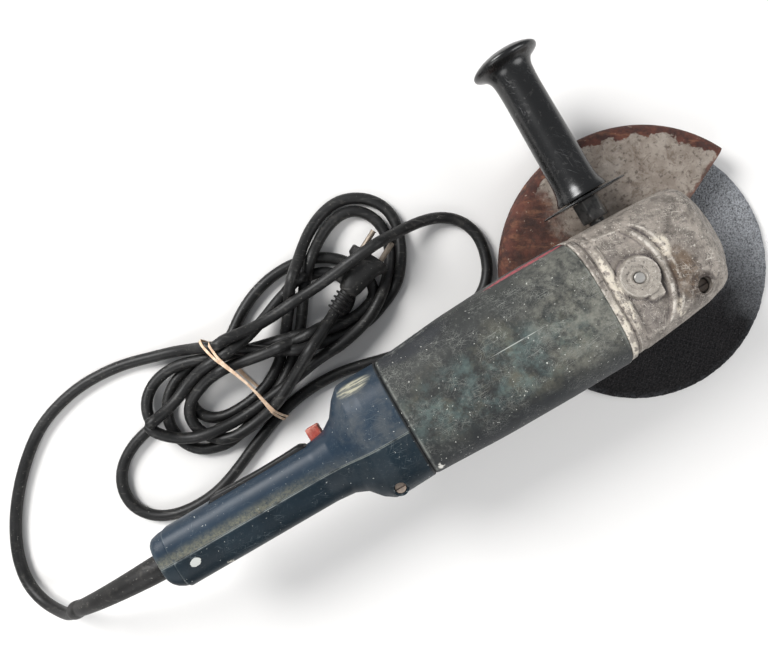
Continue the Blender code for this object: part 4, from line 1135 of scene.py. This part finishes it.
# the round boss with its pad, and the rings round the lock pin and the top screw
def shapeBoss(x, y, z, top):
    bossX, bossY, bossR, bossZ = head["boss"]
    away = np.hypot(x - bossX, y - bossY) - bossR
    pad = np.hypot(np.maximum(np.abs(x + 38) - 3.5, 0), np.maximum(np.abs(y + 8.5) - 3.0, 0)) - 3.0
    padOnly = (pad < -0.2) * (away > 0)
    away = np.minimum(away, pad)
    raised = (1 - ease(away, -0.9, 0.5)) * (z > 100)
    z += raised * (bossZ - 1.0 * ease(away, -1.2, 0.3) - 1.1 * padOnly - z)
    z -= 0.9 * hump(away, 1.6, 1.3) * top
    fromPin = np.hypot(x - head["pin"][0], y - head["pin"][1])
    z += (z > 100) * (0.7 * hump(fromPin, 6.1, 1.4) - 0.8 * hump(fromPin, 8.2, 1.2))
    fromScrew = np.hypot(x - head["screw"][0], y - head["screw"][1])
    z += (z > 100) * (0.6 * (1 - ease(fromScrew, 8.2, 9.6)) - 0.6 * hump(fromScrew, 10.4, 1.4))
    return np.maximum(raised, (z > 100) * (1 - ease(fromScrew, 8.4, 9.4)) * 0.4)


# the gear space, the bearing seats and every hole, joined into one cutter
def headCutter():
    pin, screw, handleX, corner = head["pin"], head["screw"], head["handleX"], head["flangeScrews"]
    tools = [
        rod(32, (0, 0, 30), (0, 0, 82), 64),
        rod(21.7, (0, 0, 80), (0, 0, 100), 48),
        rod(9.8, (0, 0, 95), (0, 0, 118.6)),
        rod(13, (-80, 0, motorZ), (-20, 0, motorZ)),
        rod(15.3, (-80, 0, motorZ), (-53.7, 0, motorZ)),
        rod(40, (-80, 0, motorZ), (-64.5, 0, motorZ), 64),
        rod(4.4, (*pin, 85), (*pin, 140), 40),
        rod(6.8, (*pin, 108), (*pin, 124)),
        rod(6.3, (handleX, 37, 80), (handleX, 70, 80)),
        rod(6.3, (handleX, -70, 80), (handleX, -35, 80)),
        rod(6.2, (*screw, 112), (*screw, 140), 48),
        rod(2.3, (*screw, 102), (*screw, 115)),
    ]
    tools += [rod(2.3, (a, b, 30), (a, b, 60), 16) for a in (-corner, corner) for b in (-corner, corner)]
    return carve(tools[0], tools[1:], "UNION")


def makeGearHead():
    stations = np.concatenate([np.arange(-71.7, -43.8, 0.85), [-43.75, -43.5], np.arange(-42.6, 14, 1.0),
                               np.arange(14, 42.7, 0.7), [42.8]])
    rings = hullRings(head["sections"], stations, head["around"], power=3.4)
    x, y, z = rings[..., 0], rings[..., 1], rings[..., 2]
    shapeFlange(rings, y.mean(1, keepdims=True), (z.max(1, keepdims=True) + z.min(1, keepdims=True)) / 2)
    topZ = z.max(1, keepdims=True)
    top = ease(z, topZ - 9, topZ - 3)
    bed, ridge = shapeTop(x, y, z, topZ, top)
    plate = shapeBoss(x, y, z, top)
    flat = rings.reshape(-1, 3)
    flat[:, 2] += 0.35 * waves(flat, 46, 3) * (flat[:, 0] > -64) * (flat[:, 2] > 44)
    flat[:, 1] += 0.3 * waves(flat, 38, 4) * (flat[:, 0] > -64)
    stored = {"ridge": ridge, "bed": bed, "plate": plate}
    piece = lofted("gearHead", rings, finishes["cast_aluminium"], 0, stored)
    return sharpen(carve(piece, [headCutter()]), 32)


fit(makeGearHead(), "tool", "cast_aluminium", "gear_case")
print("gear head made")


housing = {
    "sections": [(-72, -51, 54, 33, 129), (-120, -52, 54.5, 33.5, 128.5), (-180, -52, 51.5, 35, 127),
                 (-239, -50, 46, 37, 125)],
    "around": 340, "wall": 3.2,
    # x and how far the edge is rounded off there
    "edges": [(-239, 0.9), (-238.4, 0.35), (-237.6, 0), (-73.4, 0), (-72.5, 0.3), (-72, 0.8)],
    "vents": {"start": -226, "end": -196, "heights": (58, 66.5, 75, 83.5, 92, 100.5),
              "half": 2.0, "deep": 2.2, "soft": 0.8},
}


# sections of a shell's inside, its wall's thickness smaller all round
def insideOf(sections, wall):
    return [(x, a + wall, b - wall, c + wall, d - wall) for x, a, b, c, d in sections]


def middleOf(side):
    return (side.max(1, keepdims=True) + side.min(1, keepdims=True)) / 2


def makeHousing():
    stations = np.concatenate([[-72, -72.5], np.arange(-73.2, -238.2, -1.5), [-238.4, -239]])
    outer = hullRings(housing["sections"], stations, housing["around"], blur=9.0)
    inside = insideOf(housing["sections"], housing["wall"])
    inner = hullRings(inside, stations[::-1], housing["around"], blur=9.0)
    sink = np.interp(stations, *zip(*housing["edges"]))[:, None]
    x, y, z = outer[..., 0], outer[..., 1], outer[..., 2]
    vents = housing["vents"]
    slots = sum(ease(np.abs(z - h), vents["half"] + 0.5, vents["half"] - 0.5) for h in vents["heights"])
    start, end, soft = vents["start"], vents["end"], vents["soft"]
    slots = slots * within(x, start - soft, start + soft, end - soft, end + soft)
    sideways = np.abs(y) / np.abs(y).max(1, keepdims=True) > 0.8
    pressIn(outer, sink + slots * sideways * vents["deep"], middleOf(y), motorZ)
    flat = outer.reshape(-1, 3)
    flat[:, 2] += 0.22 * waves(flat, 60, 8) * (flat[:, 2] > 110)
    points = np.concatenate([flat, inner.reshape(-1, 3)])
    faces = loftFaces(2 * len(stations), housing["around"], loop=True)
    return makeMesh("motorShell", points, faces, finishes["worn_housing"], 38)


fit(makeHousing(), "tool", "worn_housing", "motor_housing")
print("motor housing made")


handle = {
    "sections": [(-239.3, -50, 46, 37, 125), (-262, -51, 46, 38, 124), (-274, -51, 45.5, 41, 121),
                 (-282, -46, 38, 46, 116), (-290, -37, 27, 51.5, 110.5), (-300, -33, 20.5, 56.5, 105.5),
                 (-315, -31.8, 17.6, 60, 102), (-443.4, -32, 17, 60.5, 101.5),
                 (-444.6, -31, 16.2, 61.5, 100.5), (-448, -30, 15.8, 61.8, 100.2),
                 (-452.5, -27.4, 15.4, 62.2, 99.8), (-454.8, -25, 14.8, 62.8, 99.2),
                 (-456, -23.4, 13.6, 64, 98)],
    "around": 260, "wall": 3.2, "insideEnd": (-460, -28.8, 13.8, 63.7, 98.3),
    "edge": [(-241, 0), (-240.6, 0), (-239.8, 0.35), (-239.3, 0.9)],  # x and rounding off
    "screw": (-267, -42), "screwSeat": 27.0,  # the seat's distance above and below the motor's axis
    "button": -306.0, "bootHole": 9.4, "overlap": 0.2,
}


def handleBody():
    stations = np.concatenate([[-239.3, -239.8], np.arange(-240.6, -313, -1.1), np.arange(-313, -442, -2.2),
                               [-442.6, -443.4, -444, -444.6, -446, -448, -450, -452, -454.6, -455.4, -456]])
    rings = hullRings(handle["sections"], stations, handle["around"], power=3.1)
    sink = np.interp(stations, *zip(*handle["edge"]))[:, None]
    y, z = rings[..., 1], rings[..., 2]
    valley = 0.55 * hump(y, seamY, 1.3) * (np.abs(z - motorZ) > 12)  # where the two shells meet
    pressIn(rings, sink + valley, middleOf(y), motorZ)
    return lofted("handleBody", rings, finishes["navy"], 0)


def handleHollow():
    stations = np.concatenate([np.arange(-234.3, -440, -8.0), [-449.7]])
    table = insideOf(handle["sections"][:7], handle["wall"]) + [handle["insideEnd"]]
    return lofted("cutter", hullRings(table, stations, 96), finishes["navy"], 0)


def makeHandle():
    x, y = handle["screw"]
    low, high = seamY - handle["overlap"], seamY + handle["overlap"]
    button = handle["button"]
    body = carve(handleBody(), [handleHollow()])
    back = copyOf(body, "handleBack")
    front = copyOf(body, "handleFront")
    bpy.data.objects.remove(body, do_unlink=True)
    carve(back, [rod(6.5, (x, y, 52), (x, y, 111))], "UNION")
    hole = (handle["bootHole"], (-470, seamY, motorZ), (-440, seamY, motorZ), 40)
    tools = [block((-500, low, 0), (-200, 90, 160)), rod(*hole)]
    for sign in (1, -1):
        seat = motorZ + handle["screwSeat"] * sign
        tools.append(rod(4.8, (x, y, seat), (x, y, seat + 40 * sign)))
        tools.append(rod(2.2, (x, y, seat - 16 * sign), (x, y, seat + 2 * sign), 16))
    carve(back, tools)
    carve(front, [
        block((-500, -90, 0), (-200, high, 160)), rod(*hole),
        block((-402.6, 4, 71), (-315.5, 40, 91), 0.8),
        block((button - 5.9, 0, 75.1), (button + 5.8, 40, 86.9), 0.5),
    ])
    # the shell towards -Y takes the darker copy, painted shade
    back.data.materials[0] = finishes["teal"]
    fit(sharpen(back, 30), "tool", "blue_plastic", "handle_shell_back")
    fit(sharpen(front, 30), "tool", "blue_plastic", "handle_shell_trigger")


makeHandle()
print("rear handle made")


trigger = {
    "outline": [(-401, 8), (-401, 17.6), (-398, 20.4), (-380, 19.6), (-360, 19.2), (-340, 19.6), (-322, 20.4),
                (-317, 17.6), (-317, 10), (-330, 8)],
    "low": 72, "high": 90, "pivot": (-396, 10), "rounding": 1.3,
}


def makeTrigger():
    shape = [[(x, y, z) for x, y in trigger["outline"]] for z in (trigger["low"], trigger["high"])]
    piece = bevel(lofted("triggerPaddle", shape, finishes["black_plastic"], 0), trigger["rounding"])
    return sharpen(carve(piece, [rod(2.2, (*trigger["pivot"], 60), (*trigger["pivot"], 100), 24)]))


lockButton = {"half": 5.5, "back": 5.0, "front": 28.5, "rounding": 1.6, "dish": 0.6}


def makeButton():
    x, half, front = handle["button"], lockButton["half"], lockButton["front"]
    piece = block((x - half, lockButton["back"], motorZ - half), (x + half, front, motorZ + half),
                  lockButton["rounding"])
    piece.name = "lockButton"
    # a worn, slightly dished face
    for vertex in piece.data.vertices:
        if vertex.co.y > spindleY + (front - 1.5) * mm:
            vertex.co.y -= lockButton["dish"] * mm
    piece.data.materials.append(finishes["red_plastic"])
    step = piece.modifiers.new("fine", "SUBSURF")
    step.levels = step.render_levels = 2
    step.subdivision_type = "SIMPLE"
    return sharpen(apply(piece))


fit(makeTrigger(), "trigger", "black_plastic", "trigger")
fit(makeButton(), "lock_on_button", "red_plastic", "lock_on_button")
print("trigger and button made")


spring = {"turns": 3, "reach": 5.4, "wire": 0.6, "low": 109.0, "rise": 10.6, "pressed": 0.66}


# the coil under the lock pin's collar
def makeSpring():
    x, y = head["pin"]
    angle = np.linspace(0, 2 * math.pi * spring["turns"], spring["turns"] * 24 + 1)
    way = np.stack([x + spring["reach"] * np.cos(angle), y + spring["reach"] * np.sin(angle),
                    spring["low"] + spring["rise"] * angle / angle[-1]], 1)
    return lofted("lockPinSpring", tubeRings(way, [spring["wire"]] * len(way), 12), finishes["pin_steel"], 60)


lockPinSpring = fit(makeSpring(), "tool", "bright_steel", "lock_spring")
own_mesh(lockPinSpring)
print("lock spring made")


# profiles are radius and distance out from the spindle's axis
sideHandle = {
    "at": (head["handleX"], 0, 80),
    "grip": [(0, 205), (9, 204.9), (14, 204.2), (18.5, 203), (22, 201.6), (24.6, 200.2), (26.2, 199),
             (27, 198), (27, 196.6), (26.3, 195.3), (24, 193.8), (21.6, 192.8), (19.4, 191), (18, 189),
             (17.1, 186.6), (16.6, 184), (16.2, 178), (16, 170), (16.15, 150), (16.4, 130), (16.6, 112),
             (16.9, 96), (17.2, 90), (17.8, 86), (18.8, 82.6), (20, 80.2), (20.5, 78.6), (20.5, 77.2),
             (6.4, 77.2), (6.4, 119), (0, 119)],
    "plate": [(6.4, 73.8), (6.4, 76.8), (13, 76.8), (14.5, 76.5), (24, 76), (33.6, 75.5), (34.7, 75.2),
              (35, 74.8), (34.8, 74.2), (33.8, 74), (14.5, 73.8)],
    "plateWide": 35.0, "plateHigh": 27.0,
    "stud": [(0, 118), (5.4, 118), (6, 117.4), (6, 38.8), (5.4, 38), (0, 38)],
    "hexRadius": 11.0, "hexEnds": (55.8, 73.4),
}


def makeGrip():
    return turned("sideGrip", sideHandle["grip"], finishes["gloss"], 72, sideHandle["at"], "Y", smooth=48)


# an oval plate that comes to soft points at its two ends
def makePlate():
    sides, wide, high = 96, sideHandle["plateWide"], sideHandle["plateHigh"]
    points = turnedPoints(sideHandle["plate"], (0, 0, 0), "Y", sides)
    angle = np.arctan2(points[:, 2], points[:, 0])
    reach = high + (wide - high) * np.abs(np.cos(angle)) ** 2.4
    share = ease(np.hypot(points[:, 0], points[:, 2]), 14, wide)
    points[:, [0, 2]] *= (1 + share * (reach / wide - 1))[:, None]
    points += np.array(sideHandle["at"], float)
    faces = loftFaces(len(sideHandle["plate"]), sides, loop=True)
    return makeMesh("handPlate", points, faces, finishes["gloss"], 48)


def makeStud():
    stud = turned("threadStud", sideHandle["stud"], finishes["stud_steel"], 48, sideHandle["at"], "Y")
    x, _, z = sideHandle["at"]
    rows = [(sideHandle["hexRadius"], y) for y in sideHandle["hexEnds"]]
    hexagon = turnedPoints(rows, (x, 0, z), "Y", 6).reshape(2, 6, 3)
    nut = bevel(lofted("nut", hexagon, finishes["stud_steel"], 0), 1.0)
    return sharpen(carve(stud, [nut], "UNION"))


fit(makeGrip(), "tool", "black_plastic", "side_handle_grip")
fit(makePlate(), "tool", "black_plastic", "hand_shield")
fit(makeStud(), "tool", "bright_steel", "side_handle_stud")
print("side handle made")


guard = {
    # radius and height of the sheet's upper side, then of its lower edge
    "top": [(27, 30), (34, 30), (110, 30), (113.4, 29.6), (116, 28.8), (118.3, 27.6), (120, 26),
            (121.2, 24), (122, 21.5), (122.6, 18.6), (122.8, 16), (122.8, 11.2)],
    "edge": [(122.75, 10.4), (122.3, 10.0), (121.3, 10.0), (120.85, 10.4)],
    "ring": [(28.5, 35.0), (28.1, 35.4), (25.8, 35.4), (25.4, 35.0), (25.4, 24.9), (25.8, 24.5),
             (28.1, 24.5), (28.5, 24.9)],
    "sheet": 2.0, "start": 26.6, "sweep": 180, "around": 130, "clampTurn": -65,
}


# the half disc of sheet with its turned-down rim
def guardSheet():
    top = np.array(guard["top"], float)
    fine = [top[0]]
    for a, b in zip(top[:-1], top[1:]):
        pieces = max(1, int(np.linalg.norm(b - a) / 4))
        fine += [a + (b - a) * (k + 1) / pieces for k in range(pieces)]
    fine = np.array(fine)
    way = np.gradient(fine, axis=0)
    inward = np.stack([way[:, 1], -way[:, 0]], 1) / np.linalg.norm(way, axis=1)[:, None]
    inner = fine + inward * guard["sheet"]
    rows = [*fine, *guard["edge"], *inner[::-1]]
    sides = guard["around"]
    points = turnedPoints(rows, (0, 0, 0), "Z", sides, guard["start"], guard["sweep"])
    away = np.hypot(points[:, 0], points[:, 1])
    # pressed ring near the middle and a little unevenness towards the rim
    points[:, 2] -= 0.8 * hump(away, 48, 4) * (points[:, 2] > 26)
    points[:, 2] -= 0.45 * (0.5 + 0.5 * waves(points * [1, 1, 0], 70, 12)) * ease(away, 60, 105)
    faces = loftFaces(len(rows), sides, closedRound=False, loop=True)
    faces += [tuple(k * sides + end for k in range(len(rows))) for end in (0, sides - 1)]
    return makeMesh("guardSheet", points, faces, finishes["rusty_sheet"], 35)


# the split ring that clamps it to the bearing's neck, with the lug for its screw
def makeGuard():
    shell = guardSheet()
    collar = turned("collar", guard["ring"], finishes["rusty_sheet"], 96, closed=True)
    lug = block((27, -3, 27), (38, 12, 35.2), 1.0)
    split = block((20, 4, 20), (45, 5.6, 40))
    hole = rod(2.3, (34, -10, 31.2), (34, 9.5, 31.2), 20)
    axis = Matrix.Translation((spindleX, spindleY, 0))
    swing = axis @ Matrix.Rotation(math.radians(guard["clampTurn"]), 4, "Z") @ axis.inverted()
    for part in (lug, split, hole):
        part.matrix_world = swing @ part.matrix_world
    carve(collar, [lug], "UNION")
    carve(collar, [split, hole])
    return sharpen(carve(shell, [collar], "UNION"))


fit(makeGuard(), "guard", "rusty_sheet", "guard")
print("guard made")


# radius and height: the raised middle and the flat of the upper side, then the lower side back to the bore
disc = {
    "middle": [(11.1, 10.7), (17, 10.7), (22.5, 10.7), (26, 10.4), (29, 9.4), (31.5, 7.8), (33.6, 6.5),
               (36, 6.0)],
    "rim": [(113.9, 5.9), (114.7, 5.3), (115, 4.4), (115, 1.6), (114.6, 0.7), (113.8, 0.1)],
    "hollow": [(33, 0.3), (30.5, 1.4), (28, 3.2), (25.5, 4.6), (22.5, 4.9), (17, 4.9), (11.1, 4.9)],
    "radius": 115.0, "thick": 6.0, "grit": 0.28, "wear": 0.5, "around": 300,
}


def makeDisc():
    rows = disc["middle"] + [(r, disc["thick"]) for r in np.arange(38.5, 113.6, 2.0)] + disc["rim"]
    rows += [(r, 0.0) for r in np.arange(112, 36.1, -2.5)] + disc["hollow"]
    points = turnedPoints(rows, (0, 0, 0), "Z", disc["around"])
    grit = np.random.default_rng(5).uniform(-1, 0, len(points))
    away = np.hypot(points[:, 0], points[:, 1])
    onTop = (points[:, 2] > 3.5) & (away > 14)
    below = (points[:, 2] < 1) * (away > 24) * (away < 112)
    points[:, 2] += disc["grit"] * grit * onTop - disc["grit"] * grit * below
    worn = ease(away, 108, disc["radius"])
    points[:, 2] -= disc["wear"] * worn * onTop * (0.5 + 0.5 * waves(points, 14, 6))
    points[:, :2] *= (1 + worn * grit * 0.004)[:, None]
    faces = loftFaces(len(rows), disc["around"], loop=True)
    return makeMesh("grindingDisc", points, faces, finishes["abrasive"], 60)


fit(makeDisc(), "spindle", "abrasive", "grinding_disc")
print("disc made")


# CAD nodes that keep their shape but don't take their slot's own finish
special = {
    "lock_pin": "pin_steel", "plug_pin_left": "plug_pins", "plug_pin_right": "plug_pins",
    "handle_screw_upper": "brown_screw", "handle_screw_lower": "brown_screw", "top_screw": "shaded_hole_screw",
    "bearing_flange": "cast_aluminium", "inner_flange": "dark_steel",
}


def paintKeptNodes():
    slotOf = {part["node"]: part["material_slot"] for part in frame["record"]["subparts"]}
    for name, node in frame["nodes"].items():
        if node.hide_render:
            continue
        finish = finishes[special.get(name) or slotOf[name]]
        if not node.material_slots:
            node.data.materials.append(finish)
        for place in node.material_slots:
            place.material = finish


paintKeptNodes()
print("inner parts painted")
